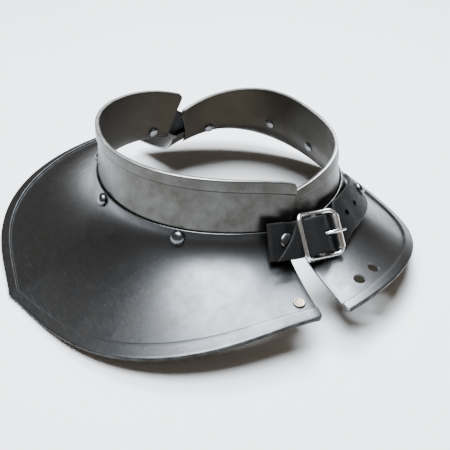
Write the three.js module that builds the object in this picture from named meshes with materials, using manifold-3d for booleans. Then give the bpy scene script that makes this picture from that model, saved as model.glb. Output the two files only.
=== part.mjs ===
// Steel gorget: a neck guard of two steel halves, each a collar riveted inside a flared yoke,
// joined by a leather hinge on the wearer's right and a strap with a roller buckle on the left.
// Millimetres, Z up, the wearer's front towards -Y and the wearer's left towards +X.
import * as THREE from 'three';
import Module from 'manifold-3d';

const wasm = await Module();
wasm.setup();

// Main sizes
const NECK_RADIUS = 75;
const RIM_HEIGHT = 84;
const YOKE_REACH = 140;
const WALL_HEIGHT = 30;
const WALL_SPREAD = 5;
const FRONT_POINT = 6.8;
const POINT_WIDTH = 10;

// Sheet and its pressed borders
const SHEET = 1.4;
const GAP = 0.35;
const FOOT = 11;
const YOKE_BORDER = 9;
const RIM_BAND = 7;
const RAISE = 1.5;
const STEP = 0.9;
const BORDER_LEAN = 0.25;
const FLANGE = 14;
const FLARE_OUT = 0.38;
const FLARE_DOWN = 0.72;

// Degrees each plate goes round from its half's middle, one way and the other,
// and how far its collar's ends slope in on the way down
const YOKE_ENDS_FRONT = [-81.9, 81.9];
const YOKE_ENDS_BACK = [-86.5, 98];
const COLLAR_ENDS_FRONT = [-92.2, 91];
const COLLAR_ENDS_BACK = [-91, 94];
const END_CUTS_FRONT = [6.5, 5];
const END_CUTS_BACK = [3, 4.5];
const CUT_FROM = 80;
const CORNER_CUT = 1.2;
const STATION_ANGLE = 5;
const STATION_SPARE = 1.5;

// Rivets
const RIVET_DOWN = 5;
const RIVET_HEAD = 4.3;
const RIVET_DOME = 2.7;
const RIVET_INNER = 3.6;
const RIVET_INNER_DOME = 1.5;
const SHANK = 1.8;
const HOLE_SPARE = 0.3;
const RIVET_SIDES = 12;
const SEAT = 0.25;
const FLANGE_CURVE = 0.45;
const RIVET_ANGLE = 40;
const MIDDLE_RIVET_ANGLE = -2.5;
const END_RIVET_ANGLE = 77;

// Locking stud and its two holes
const STUD_ANGLE = 78;
const STUD_IN = 14;
const KEY_HOLE_ANGLES = [-77, -70];
const STUD_HEAD = 3.6;
const KEY_HOLE = 3.6;

// Leather
const LEATHER = 2;
const LIFT = 0.6;
const STRAP_LIFT = 0.3;
const TAIL_SHORT = 12.8;
const TAIL_LONG = 30.5;
const TAIL_CUT_UP = 5;
const STRAP_DROP = 12;
const STRAP_DROPS_FROM = 8;
const STRAP_DROPS_TO = 55;
const STRAP_DROP_POWER = 2.2;
const STRAP_RIVET_TURN = 50;
const STRAP_PAST = 10;
const STAND = 1.1;
const RIGID_FROM = 14;
const RIGID_TO = 24;
const STRAP_HALF_WIDTH = 10.9;
const STRAP_DOWN = 6.2;
const STRAP_DOWN_BACK = 9.8;
const HINGE_HALF_WIDTH = 10;
const HINGE_DOWN = -2.5;
const HINGE_DOWN_BACK = 0;
const HINGE_RIVET_ACROSS = 5.5;
const HINGE_PAST = 8;

// Buckle, lengths along the strap measured from its middle bar
const MIDDLE_BAR_ANGLE = 6.2;
const BUCKLE_HEADING = 6;
const BUCKLE_LEAN = 37.6;
const BUCKLE_DIP = 7.5;
const BUCKLE_HALF = 13.4;
const RAIL_HALF = 13;
const WIRE = 1.45;
const LEFT_BAR_UP = 10.7;
const MIDDLE_BAR_UP = 5.6;
const ROLLER_UP = 7.8;
const ROLLER_RADIUS = 2.3;
const PRONG_WIRE = 1.05;
const SMALL_HOLE = 2;

// A row for each section: angle from the middle of the half, then shares of
// NECK_RADIUS, RIM_HEIGHT, WALL_SPREAD, WALL_HEIGHT, YOKE_REACH, RIM_HEIGHT and YOKE_BORDER
const FRONT_SECTIONS = [
  { angle: 0, rim: 1.12, rimUp: 1.015, spread: 0.68, wall: 1.107, edge: 1.06, edgeUp: 0.008, border: 0.7 },
  { angle: 15, rim: 1.12, rimUp: 1.021, spread: 0.72, wall: 1.123, edge: 1.077, edgeUp: 0.026, border: 0.78 },
  { angle: 30, rim: 1.117, rimUp: 1.022, spread: 0.8, wall: 1.113, edge: 1.103, edgeUp: 0.079, border: 0.9 },
  { angle: 45, rim: 1.088, rimUp: 1.011, spread: 1.12, wall: 1.08, edge: 1.093, edgeUp: 0.155, border: 1.03 },
  { angle: 60, rim: 1.043, rimUp: 0.985, spread: 1.42, wall: 1.033, edge: 1.034, edgeUp: 0.232, border: 0.92 },
  { angle: 75, rim: 1, rimUp: 0.94, spread: 1.52, wall: 0.983, edge: 0.971, edgeUp: 0.277, border: 0.75 },
  { angle: 90, rim: 0.974, rimUp: 0.865, spread: 1.42, wall: 0.91, edge: 0.97, edgeUp: 0.248, border: 0.72 },
  { angle: 105, rim: 0.972, rimUp: 0.767, spread: 1.34, wall: 0.813, edge: 1.03, edgeUp: 0.14, border: 0.72 },
];
const BACK_SECTIONS = [
  { angle: 0, rim: 0.784, rimUp: 0.93, spread: 0.62, wall: 0.76, edge: 0.814, edgeUp: 0.008, border: 0.72 },
  { angle: 15, rim: 0.807, rimUp: 0.927, spread: 0.7, wall: 0.755, edge: 0.824, edgeUp: 0.026, border: 0.72 },
  { angle: 30, rim: 0.865, rimUp: 0.918, spread: 0.95, wall: 0.745, edge: 0.849, edgeUp: 0.084, border: 0.72 },
  { angle: 45, rim: 0.932, rimUp: 0.898, spread: 1.15, wall: 0.735, edge: 0.886, edgeUp: 0.162, border: 0.72 },
  { angle: 60, rim: 0.976, rimUp: 0.862, spread: 1.2, wall: 0.72, edge: 0.924, edgeUp: 0.229, border: 0.72 },
  { angle: 75, rim: 0.983, rimUp: 0.806, spread: 1.25, wall: 0.705, edge: 0.956, edgeUp: 0.254, border: 0.72 },
  { angle: 90, rim: 0.956, rimUp: 0.729, spread: 1.4, wall: 0.69, edge: 0.979, edgeUp: 0.217, border: 0.72 },
  { angle: 105, rim: 0.919, rimUp: 0.635, spread: 1.56, wall: 0.67, edge: 0.988, edgeUp: 0.113, border: 0.72 },
];
const SECTION_ANGLE = 15;

// Each half lies turned a little about the upright, rolled about its own middle line and shifted
const FRONT = {
  sections: FRONT_SECTIONS,
  point: FRONT_POINT,
  heading: -87.6,
  roll: -0.55,
  shift: 0,
  borderLean: BORDER_LEAN,
  endCuts: END_CUTS_FRONT,
};
const BACK = {
  sections: BACK_SECTIONS,
  point: 0,
  heading: 87.6,
  roll: -0.63,
  shift: 2.4,
  borderLean: 0,
  endCuts: END_CUTS_BACK,
};
const ROLL_HEIGHT = 40;

// Rows across the strap end, along the strap from the middle bar and up to the leather's middle
const STRAP_RISE = [
  { along: -30.5, up: 9 },
  { along: -26, up: 9 },
  { along: -18, up: 9 },
  { along: -13.4, up: 7.5 },
  { along: -8, up: 8.4 },
  { along: -4, up: 10.6 },
  { along: 0, up: 11.1 },
  { along: 3, up: 10.8 },
  { along: 6, up: 8.6 },
  { along: 9, up: 5.2 },
  { along: 13.4, up: 4.2 },
  { along: 18, up: 3.9 },
  { along: 24, up: 2.9 },
  { along: 30, up: 2.1 },
];
const CHAPE_RISE = [
  { along: -32, up: 1.7 },
  { along: -22, up: 1.8 },
  { along: -12, up: 1.8 },
  { along: -5, up: 2.1 },
  { along: 0, up: 2.75 },
  { along: 2.1, up: 3.5 },
  { along: 2.95, up: 5.6 },
  { along: 2.1, up: 7.7 },
  { along: 0, up: 8.55 },
  { along: -2.6, up: 7.9 },
  { along: -6, up: 5.5 },
  { along: -10, up: 4.2 },
  { along: -16, up: 4.15 },
  { along: -22, up: 4.15 },
  { along: -32, up: 4.05 },
];

const RAD = Math.PI / 180;
const V = (x, y, z) => new THREE.Vector3(x, y, z);

// A column of a table at any angle, the same on both sides of the middle
function column(sections, name, angle) {
  const last = sections.length - 1;
  const turn = Math.abs(angle) / SECTION_ANGLE;
  const i = Math.min(Math.floor(turn), last - 1);
  const t = turn - i;
  const at = (k) => {
    const row = Math.abs(k);
    if (row <= last) return sections[row][name];
    return 2 * sections[last][name] - sections[last - 1][name];
  };
  const [a, b, c, d] = [at(i - 1), at(i), at(i + 1), at(i + 2)];
  return 0.5 * (2 * b + (c - a) * t + (2 * a - 5 * b + 4 * c - d) * t * t + (3 * b - a - 3 * c + d) * t * t * t);
}

// Section points are pairs: distance from the upright axis, height
function rimAt(half, angle) {
  return [NECK_RADIUS * column(half.sections, 'rim', angle), RIM_HEIGHT * column(half.sections, 'rimUp', angle)];
}
function jointAt(half, angle) {
  const [r, z] = rimAt(half, angle);
  const out = WALL_SPREAD * column(half.sections, 'spread', angle);
  return [r + out, z - WALL_HEIGHT * column(half.sections, 'wall', angle)];
}
function edgeAt(half, angle) {
  const peak = half.point * Math.exp(-Math.abs(angle) / POINT_WIDTH);
  const r = YOKE_REACH * column(half.sections, 'edge', angle) + peak;
  return [r, RIM_HEIGHT * column(half.sections, 'edgeUp', angle)];
}

// The way down the collar's wall
function wallLine(half, angle) {
  const j = jointAt(half, angle);
  const r = rimAt(half, angle);
  const l = Math.hypot(j[0] - r[0], j[1] - r[1]);
  return [(j[0] - r[0]) / l, (j[1] - r[1]) / l];
}

// The yoke's section from the collar to its outer edge, with its length run
function yokeRun(half, angle) {
  const j = jointAt(half, angle);
  const e = edgeAt(half, angle);
  const w = wallLine(half, angle);
  const b = [j[0] + w[0] * FLANGE, j[1] + w[1] * FLANGE];
  const c = [j[0] + (e[0] - j[0]) * FLARE_OUT, j[1] + (e[1] - j[1]) * FLARE_DOWN];
  const count = 32;
  const run = [];
  let length = 0;
  for (let i = 0; i <= count; i++) {
    const t = i / count;
    const u = 1 - t;
    const p = [0, 1].map((k) => u * u * u * j[k] + 3 * u * u * t * b[k] + 3 * u * t * t * c[k] + t * t * t * e[k]);
    if (i > 0) length += Math.hypot(p[0] - run[i - 1].p[0], p[1] - run[i - 1].p[1]);
    run.push({ p, length });
  }
  return run;
}

// A point and outward normal on the outer face: down the yoke if s is over 0, up the wall if under
function faceAt(half, angle, s, run = yokeRun(half, angle)) {
  if (s < 0) {
    const j = jointAt(half, angle);
    const w = wallLine(half, angle);
    return { p: [j[0] + w[0] * s, j[1] + w[1] * s], n: [-w[1], w[0]] };
  }
  let i = 1;
  while (i < run.length - 1 && run[i].length < s) i++;
  const a = run[i - 1];
  const b = run[i];
  const t = (s - a.length) / (b.length - a.length);
  const d = [b.p[0] - a.p[0], b.p[1] - a.p[1]];
  const l = Math.hypot(d[0], d[1]);
  return { p: [a.p[0] + d[0] * t, a.p[1] + d[1] * t], n: [-d[1] / l, d[0] / l] };
}

// From a section point to its place in the part
function place(half, angle, pair) {
  const p = angle * RAD;
  const x = pair[0] * Math.cos(p);
  const y = pair[0] * Math.sin(p) + half.shift;
  const up = pair[1] - ROLL_HEIGHT;
  const roll = half.roll * RAD;
  const side = y * Math.cos(roll) - up * Math.sin(roll);
  const z = ROLL_HEIGHT + y * Math.sin(roll) + up * Math.cos(roll);
  const h = half.heading * RAD;
  return V(x * Math.cos(h) - side * Math.sin(h), x * Math.sin(h) + side * Math.cos(h), z);
}
function onFace(half, angle, s, up) {
  const f = faceAt(half, angle, s);
  return place(half, angle, [f.p[0] + f.n[0] * up, f.p[1] + f.n[1] * up]);
}

// Closed solid from stations, each a closed ring of points
function loft(rings, closed = false) {
  const n = rings[0].length;
  const position = rings.flat().flatMap((p) => [p.x, p.y, p.z]);
  const index = [];
  const turns = closed ? rings.length : rings.length - 1;
  for (let i = 0; i < turns; i++) {
    const next = (i + 1) % rings.length;
    for (let k = 0; k < n; k++) {
      const m = (k + 1) % n;
      index.push(i * n + k, next * n + k, next * n + m);
      index.push(i * n + k, next * n + m, i * n + m);
    }
  }
  if (!closed) {
    for (const [base, flip] of [[0, false], [(rings.length - 1) * n, true]]) {
      for (let k = 0; k < n / 2 - 1; k++) {
        const quad = [base + k, base + k + 1, base + n - 2 - k, base + n - 1 - k];
        const [a, b, c, d] = flip ? quad.reverse() : quad;
        index.push(a, b, c, a, c, d);
      }
    }
  }
  return { position, index };
}

function toSolid(shape) {
  const pos = shape.position;
  let volume = 0;
  for (let i = 0; i < shape.index.length; i += 3) {
    const [a, b, c] = [0, 1, 2].map((k) => V().fromArray(pos, 3 * shape.index[i + k]));
    volume += a.dot(b.cross(c));
  }
  const tri = [...shape.index];
  if (volume < 0) {
    for (let i = 0; i < tri.length; i += 3) [tri[i + 1], tri[i + 2]] = [tri[i + 2], tri[i + 1]];
  }
  const mesh = new wasm.Mesh({
    numProp: 3,
    vertProperties: new Float32Array(pos),
    triVerts: new Uint32Array(tri),
  });
  return new wasm.Manifold(mesh);
}

function toMesh(solid, name, material) {
  const out = solid.getMesh();
  const geometry = new THREE.BufferGeometry();
  geometry.setAttribute('position', new THREE.BufferAttribute(new Float32Array(out.vertProperties), 3));
  geometry.setIndex(new THREE.BufferAttribute(new Uint32Array(out.triVerts), 1));
  geometry.computeVertexNormals();
  const mesh = new THREE.Mesh(geometry, material);
  mesh.name = name;
  return mesh;
}

// A round bar along a line of points
function bar(points, radius, sides, closed = false, reference = BUCKLE_OUT) {
  const rings = points.map((p, i) => {
    const n = points.length;
    const before = closed ? points[(i + n - 1) % n] : points[Math.max(i - 1, 0)];
    const after = closed ? points[(i + 1) % n] : points[Math.min(i + 1, n - 1)];
    const along = after.clone().sub(before).normalize();
    const side = reference.clone().cross(along).normalize();
    const up = along.clone().cross(side);
    return Array.from({ length: sides }, (_, k) => {
      const a = (k + 0.5) * 2 * Math.PI / sides;
      return p.clone().addScaledVector(side, radius * Math.cos(a)).addScaledVector(up, radius * Math.sin(a));
    });
  });
  return toSolid(loft(rings, closed));
}

// A turned solid about an axis, its profile a list of radius and height pairs
function turned(centre, axis, profile, sides) {
  const x = Math.abs(axis.z) < 0.9 ? V(0, 0, 1).cross(axis).normalize() : V(1, 0, 0).cross(axis).normalize();
  const y = axis.clone().cross(x);
  const position = [];
  const index = [];
  const top = profile.length - 1;
  const add = (r, h, a) => {
    const p = centre.clone().addScaledVector(axis, h);
    p.addScaledVector(x, r * Math.cos(a)).addScaledVector(y, r * Math.sin(a));
    position.push(p.x, p.y, p.z);
  };
  add(0, profile[0][1], 0);
  for (let i = 1; i < top; i++) {
    for (let k = 0; k < sides; k++) add(profile[i][0], profile[i][1], k * 2 * Math.PI / sides);
  }
  add(0, profile[top][1], 0);
  const last = position.length / 3 - 1;
  for (let k = 0; k < sides; k++) {
    const m = (k + 1) % sides;
    index.push(0, 1 + m, 1 + k);
    for (let i = 0; i < top - 2; i++) {
      const a = 1 + i * sides;
      const b = a + sides;
      index.push(a + k, a + m, b + m, a + k, b + m, b + k);
    }
    index.push(last, last - sides + k, last - sides + m);
  }
  return toSolid({ position, index });
}
function rod(centre, axis, radius, from, to, sides) {
  return turned(centre, axis, [[0, from], [radius, from], [radius, to], [0, to]], sides);
}

// One pressed plate: outer face rows given by distance and lift, the inner face smooth under
// the borders, which are the sheet's edge turned back over the outside
function plate(half, rows, ends) {
  const rings = [];
  const angles = [ends[0]];
  const first = Math.ceil((ends[0] + STATION_SPARE) / STATION_ANGLE);
  const last = Math.floor((ends[1] - STATION_SPARE) / STATION_ANGLE);
  for (let k = first; k <= last; k++) angles.push(k * STATION_ANGLE);
  angles.push(ends[1]);
  for (const angle of angles) {
    const outer = [];
    const inner = [];
    for (const row of rows(half, angle, ends)) {
      outer.push(place(half, row.angle, [row.p[0] + row.n[0] * row.up, row.p[1] + row.n[1] * row.up]));
      inner.push(place(half, row.angle, [row.p[0] - row.n[0] * SHEET, row.p[1] - row.n[1] * SHEET]));
    }
    rings.push([...outer, ...inner.reverse()]);
  }
  return toSolid(loft(rings));
}

// Rows of a yoke: a few beside the collar, shares of the way out, then the raised border
const FOOT_ROWS = [0, 3, 7, FOOT];
const YOKE_SHARES = [0.22, 0.42, 0.7, 1];
function borderAt(half, angle) {
  return YOKE_BORDER * column(half.sections, 'border', angle) * (1 + half.borderLean * Math.sin(angle * RAD));
}
function yokeRows(half, angle, ends) {
  const run = yokeRun(half, angle);
  const total = run[run.length - 1].length;
  const border = borderAt(half, angle);
  const free = total - border - FOOT;
  const steps = [...FOOT_ROWS, ...YOKE_SHARES.map((s) => FOOT + s * free)];
  const rows = steps.map((s) => ({ angle, up: 0, ...faceAt(half, angle, s, run) }));
  rows.push({ angle, up: RAISE, ...faceAt(half, angle, total - border + STEP, run) });
  rows.push({ angle, up: RAISE, ...faceAt(half, angle, total - CORNER_CUT, run) });
  const last = ends.includes(angle) ? angle - Math.sign(angle) * CORNER_CUT : angle;
  rows.push({ angle: last, up: RAISE - 0.2, ...faceAt(half, last, yokeRun(half, last)[run.length - 1].length) });
  return rows;
}

// Rows of a collar: the rim band, the wall, and a foot under the yoke. Its ends slope in downwards
function collarRows(half, top, ends) {
  const way = top > 0 ? 1 : 0;
  const past = Math.max(Math.abs(top) - CUT_FROM, 0) / (Math.abs(ends[way]) - CUT_FROM);
  const lean = (t) => top - Math.sign(top) * half.endCuts[way] * past * t;
  const drop = SHEET + GAP;
  const under = (angle, s) => {
    const f = faceAt(half, angle, s);
    return { n: f.n, p: [f.p[0] - f.n[0] * drop, f.p[1] - f.n[1] * drop] };
  };
  const wall = (t, up) => {
    const angle = lean(t);
    const r = rimAt(half, angle);
    const q = under(angle, 0);
    const d = [q.p[0] - r[0], q.p[1] - r[1]];
    const l = Math.hypot(d[0], d[1]);
    return { angle, up, n: [-d[1] / l, d[0] / l], p: [r[0] + d[0] * t, r[1] + d[1] * t] };
  };
  const tall = Math.hypot(rimAt(half, top)[0] - jointAt(half, top)[0], rimAt(half, top)[1] - jointAt(half, top)[1]);
  const rows = [wall(0, RAISE - 0.3), wall(0.8 / tall, RAISE), wall(RIM_BAND / tall, RAISE)];
  rows.push(wall((RIM_BAND + STEP) / tall, 0));
  for (const s of FOOT_ROWS) {
    const angle = lean(1);
    rows.push({ angle, up: 0, ...under(angle, s) });
  }
  return rows;
}

// Straps lie on the outside of both halves: the face at a plan angle, one half fading to the other
function fade(t) {
  const u = Math.min(Math.max(t, 0), 1);
  return u * u * (3 - 2 * u);
}
const SIDES = {
  buckle: {
    halfWidth: STRAP_HALF_WIDTH,
    middle: MIDDLE_BAR_ANGLE,
    front: STRAP_DOWN,
    back: STRAP_DOWN_BACK,
    drop: STRAP_DROP,
    from: -4,
    to: 20,
    stand: STAND,
  },
  hinge: {
    halfWidth: HINGE_HALF_WIDTH,
    middle: -180,
    front: HINGE_DOWN,
    back: HINGE_DOWN_BACK,
    drop: 0,
    from: -174,
    to: -186,
    stand: 0,
  },
};
function strapEdge(side, turn, s) {
  const past = Math.max((turn - STRAP_DROPS_FROM) / (STRAP_DROPS_TO - STRAP_DROPS_FROM), 0);
  const backDown = side.back + side.drop * past ** STRAP_DROP_POWER + s;
  const first = onFace(FRONT, turn - FRONT.heading, side.front + s, 0);
  const second = onFace(BACK, turn - BACK.heading + (turn < -90 ? 360 : 0), backDown, 0);
  return first.lerp(second, fade((turn - side.from) / (side.to - side.from)));
}

// The strap's middle line, measured along from its middle angle, with a square frame at each point
function strapLine(side) {
  const line = [];
  const step = 1;
  for (let k = -40; k <= 60; k++) {
    const turn = side.middle + k * step;
    const upper = strapEdge(side, turn, -side.halfWidth);
    const under = strapEdge(side, turn, side.halfWidth);
    line.push({ turn, middle: upper.clone().lerp(under, 0.5), across: under.sub(upper).normalize() });
  }
  line.forEach((p, i) => {
    const a = line[Math.max(i - 1, 0)].middle;
    const b = line[Math.min(i + 1, line.length - 1)].middle;
    const ahead = b.clone().sub(a).normalize();
    p.across.addScaledVector(ahead, -p.across.dot(ahead)).normalize();
    p.out = p.across.clone().cross(ahead).normalize();
    if (p.out.x * p.middle.x + p.out.y * p.middle.y < 0) p.out.negate();
    p.along = i === 0 ? 0 : line[i - 1].along + p.middle.distanceTo(a);
  });
  const start = line[40].along;
  for (const p of line) p.along -= start;
  return line;
}
const LINES = new Map([[SIDES.buckle, strapLine(SIDES.buckle)], [SIDES.hinge, strapLine(SIDES.hinge)]]);
function strapFrame(side, key, value) {
  const line = LINES.get(side);
  let i = 1;
  while (i < line.length - 1 && line[i][key] < value) i++;
  const a = line[i - 1];
  const b = line[i];
  const t = (value - a[key]) / (b[key] - a[key]);
  return {
    middle: a.middle.clone().lerp(b.middle, t),
    across: a.across.clone().lerp(b.across, t).normalize(),
    out: a.out.clone().lerp(b.out, t).normalize(),
    along: a.along + (b.along - a.along) * t,
  };
}
function pointOn(side, along, across, up) {
  const f = strapFrame(side, 'along', along);
  const p = f.middle.addScaledVector(f.across, across).addScaledVector(f.out, up + side.stand);
  if (side !== SIDES.buckle) return p;
  return p.lerp(rigidPoint(along, across, up), fade((RIGID_TO - Math.abs(along)) / (RIGID_TO - RIGID_FROM)));
}
// The buckle leans back, dips a little towards the back half and heads almost straight out.
// All beside it lies square to it, and the leather bends away from there
const BUCKLE_MIDDLE = strapFrame(SIDES.buckle, 'along', 0).middle;
const [HEAD, LEAN, DIP] = [BUCKLE_HEADING * RAD, BUCKLE_LEAN * RAD, BUCKLE_DIP * RAD];
const BUCKLE_OUT = V(Math.cos(LEAN) * Math.cos(HEAD), Math.cos(LEAN) * Math.sin(HEAD), Math.sin(LEAN));
const LEVEL = V(-Math.sin(HEAD), Math.cos(HEAD), 0);
const BUCKLE_AHEAD = LEVEL.clone().applyAxisAngle(BUCKLE_OUT, -DIP);
const BUCKLE_ACROSS = BUCKLE_AHEAD.clone().cross(BUCKLE_OUT);
function rigidPoint(along, across, up) {
  const p = BUCKLE_MIDDLE.clone().addScaledVector(BUCKLE_AHEAD, along);
  return p.addScaledVector(BUCKLE_ACROSS, across).addScaledVector(BUCKLE_OUT, up + STAND);
}

// A strip of leather: a path of along and up pairs
function strip(path, side) {
  const { halfWidth } = side;
  const rings = path.map((row, i) => {
    const a = path[Math.max(i - 1, 0)];
    const b = path[Math.min(i + 1, path.length - 1)];
    const d = [b.along - a.along, b.up - a.up];
    const l = Math.hypot(d[0], d[1]);
    const n = [-d[1] / l * LEATHER / 2, d[0] / l * LEATHER / 2];
    const ring = [];
    for (const [across, face] of [[-1, 1], [1, 1], [1, -1], [-1, -1]]) {
      const along = row.along + n[0] * face;
      ring.push(pointOn(side, along, across * halfWidth, row.up + n[1] * face));
    }
    return ring;
  });
  return toSolid(loft(rings));
}
// A domed rivet: heads seated just clear of the outermost and innermost faces
function rivet(centre, axis, top, bottom, head = RIVET_HEAD, dome = RIVET_DOME) {
  const up = top + SEAT;
  const low = bottom - SEAT;
  const profile = [
    [0, low - RIVET_INNER_DOME],
    [RIVET_INNER * 0.7, low - RIVET_INNER_DOME * 0.75],
    [RIVET_INNER, low],
    [SHANK, low],
    [SHANK, up],
    [head, up],
    [head * 0.9, up + dome * 0.45],
    [head * 0.55, up + dome * 0.86],
    [0, up + dome],
  ];
  return turned(centre, axis, profile, RIVET_SIDES);
}
function faceFrame(half, angle, s) {
  const centre = onFace(half, angle, s, 0);
  const round = onFace(half, angle + 1, s, 0).sub(onFace(half, angle - 1, s, 0));
  const down = onFace(half, angle, s + 1, 0).sub(onFace(half, angle, s - 1, 0));
  const axis = down.cross(round).normalize();
  return { centre, axis };
}
const THROUGH = 2 * SHEET + GAP;

const steel = new THREE.MeshStandardMaterial({ color: 0x8b9096, roughness: 0.38, metalness: 1 });
const steelInside = new THREE.MeshStandardMaterial({ color: 0x85888c, roughness: 0.42, metalness: 1 });
const rivetSteel = new THREE.MeshStandardMaterial({ color: 0x74777c, roughness: 0.35, metalness: 1 });
const nickel = new THREE.MeshStandardMaterial({ color: 0xd4d6d8, roughness: 0.15, metalness: 1 });
const brass = new THREE.MeshStandardMaterial({ color: 0xb9a888, roughness: 0.4, metalness: 1 });
const leather = new THREE.MeshStandardMaterial({ color: 0x1b1b1d, roughness: 0.75, metalness: 0 });

const group = new THREE.Group();
group.name = 'steel_gorget';
const solids = {
  front_yoke: plate(FRONT, yokeRows, YOKE_ENDS_FRONT),
  back_yoke: plate(BACK, yokeRows, YOKE_ENDS_BACK),
  front_collar: plate(FRONT, collarRows, COLLAR_ENDS_FRONT),
  back_collar: plate(BACK, collarRows, COLLAR_ENDS_BACK),
};
const drill = (names, centre, axis, radius, reach = 9) => {
  const tool = rod(centre, axis, radius, -reach, reach, RIVET_SIDES);
  for (const name of names) solids[name] = solids[name].subtract(tool);
};

// Plate rivets
const PLATE_RIVETS = [
  { name: 'front_rivet_middle', half: FRONT, plates: ['front_yoke', 'front_collar'], angle: MIDDLE_RIVET_ANGLE },
  { name: 'front_rivet_left', half: FRONT, plates: ['front_yoke', 'front_collar'], angle: RIVET_ANGLE },
  { name: 'front_rivet_right', half: FRONT, plates: ['front_yoke', 'front_collar'], angle: -RIVET_ANGLE },
  { name: 'back_rivet_middle', half: BACK, plates: ['back_yoke', 'back_collar'], angle: 0 },
  { name: 'back_rivet_right', half: BACK, plates: ['back_yoke', 'back_collar'], angle: RIVET_ANGLE },
];
for (const r of PLATE_RIVETS) {
  const { centre, axis } = faceFrame(r.half, r.angle, RIVET_DOWN);
  drill(r.plates, centre, axis, SHANK + HOLE_SPARE);
  solids[r.name] = rivet(centre, axis, FLANGE_CURVE, -THROUGH);
}

// Closing strap with its tail slanted, its holes, and the chape folded round the middle bar
const strapEnd = strapFrame(SIDES.buckle, 'turn', STRAP_RIVET_TURN).along + STRAP_PAST;
const strapPath = [...STRAP_RISE];
for (let along = 36; along < strapEnd - 2; along += 6) strapPath.push({ along, up: LEATHER / 2 + STRAP_LIFT });
strapPath.push({ along: strapEnd, up: LEATHER / 2 + STRAP_LIFT });
solids.closing_strap = strip(strapPath, SIDES.buckle);
const past = STRAP_HALF_WIDTH + 1;
const tailCut = [TAIL_CUT_UP, TAIL_CUT_UP + 9].map((up) => [
  [-40, -past],
  [-TAIL_SHORT, -past],
  [-TAIL_LONG, past],
  [-40, past],
].map(([a, b]) => pointOn(SIDES.buckle, a, b, up)));
solids.closing_strap = solids.closing_strap.subtract(toSolid(loft(tailCut)));
solids.buckle_chape = strip(CHAPE_RISE, SIDES.buckle);


// Slots in the leather: one for the prong in each, and the free holes
const slot = (along, up, long, wide, deep) => {
  const corner = (a, b, c) => rigidPoint(along + a * long / 2, b * wide / 2, up + c * deep / 2);
  const ring = (a) => [corner(a, -1, 1), corner(a, 1, 1), corner(a, 1, -1), corner(a, -1, -1)];
  return toSolid(loft([ring(-1), ring(1)]));
};
solids.buckle_chape = solids.buckle_chape.subtract(slot(1.5, MIDDLE_BAR_UP, 11, 5, 8));
solids.closing_strap = solids.closing_strap.subtract(slot(5, 8.6, 7, 4, 7));
const FREE_HOLES = [24.6, 33.6];
for (const turn of FREE_HOLES) {
  const f = strapFrame(SIDES.buckle, 'turn', turn);
  drill(['closing_strap'], f.middle, f.out, SMALL_HOLE);
}

// Buckle: a bowed rectangle of round wire with a middle bar, a roller and a prong
const CORNER = 2.5;
const railUp = (along) => {
  const t = along / BUCKLE_HALF;
  const ends = (LEFT_BAR_UP * (1 - t) + ROLLER_UP * (1 + t)) / 2;
  return ends + (MIDDLE_BAR_UP - (LEFT_BAR_UP + ROLLER_UP) / 2) * (1 - t * t);
};
const framePoint = (along, across) => rigidPoint(along, across, railUp(along));
const outline = [];
for (const side of [-1, 1]) {
  for (const t of [-1, -0.5, 0, 0.5, 1]) {
    outline.push([-side * t * (BUCKLE_HALF - CORNER), side * RAIL_HALF]);
  }
  const end = -side * BUCKLE_HALF;
  outline.push([end + side * CORNER * 0.3, side * (RAIL_HALF - CORNER * 0.3)]);
  outline.push([end, side * (RAIL_HALF - CORNER)]);
  outline.push([end, -side * (RAIL_HALF - CORNER)]);
  outline.push([end + side * CORNER * 0.3, -side * (RAIL_HALF - CORNER * 0.3)]);
}
const loop = bar(outline.map(([a, b]) => framePoint(a, b)), WIRE, 8, true);
const middleBar = bar([-1, 1].map((k) => framePoint(0, k * RAIL_HALF)), WIRE, 8);
solids.buckle_frame = loop.add(middleBar);
const rollerEnds = [-1, 1].map((k) => framePoint(BUCKLE_HALF, k * (RAIL_HALF - CORNER - 0.6)));
const rollerTube = bar(rollerEnds, ROLLER_RADIUS, 12);
const rollerBore = bar(
  [-1, 1].map((k) => framePoint(BUCKLE_HALF, k * (RAIL_HALF - CORNER + 2))),
  WIRE + HOLE_SPARE,
  12,
);
solids.buckle_roller = rollerTube.subtract(rollerBore);
const ringRadius = WIRE + GAP + PRONG_WIRE;
const ring = [];
for (let k = 0; k <= 9; k++) {
  const a = (95 + k * 33) * RAD;
  ring.push(rigidPoint(ringRadius * Math.cos(a), 0, MIDDLE_BAR_UP + ringRadius * Math.sin(a)));
}
const prongPath = [
  ...ring,
  rigidPoint(3.4, 0, MIDDLE_BAR_UP + ringRadius + 0.6),
  rigidPoint(7.5, 0, ROLLER_UP + ROLLER_RADIUS + 0.8),
  rigidPoint(BUCKLE_HALF, 0, ROLLER_UP + ROLLER_RADIUS + PRONG_WIRE + SEAT),
  rigidPoint(BUCKLE_HALF + 3.5, 0, ROLLER_UP + ROLLER_RADIUS + PRONG_WIRE - 0.4),
];
solids.buckle_prong = bar(prongPath, PRONG_WIRE, 6, false, BUCKLE_ACROSS);

// Leather hinge on the wearer's right, outside both halves
const hingeReach = strapFrame(SIDES.hinge, 'turn', FRONT.heading - END_RIVET_ANGLE).along + HINGE_PAST;
const hingePath = [];
for (let k = -4; k <= 4; k++) hingePath.push({ along: hingeReach * k / 4, up: LEATHER / 2 + LIFT });
solids.hinge_strap = strip(hingePath, SIDES.hinge);

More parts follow.
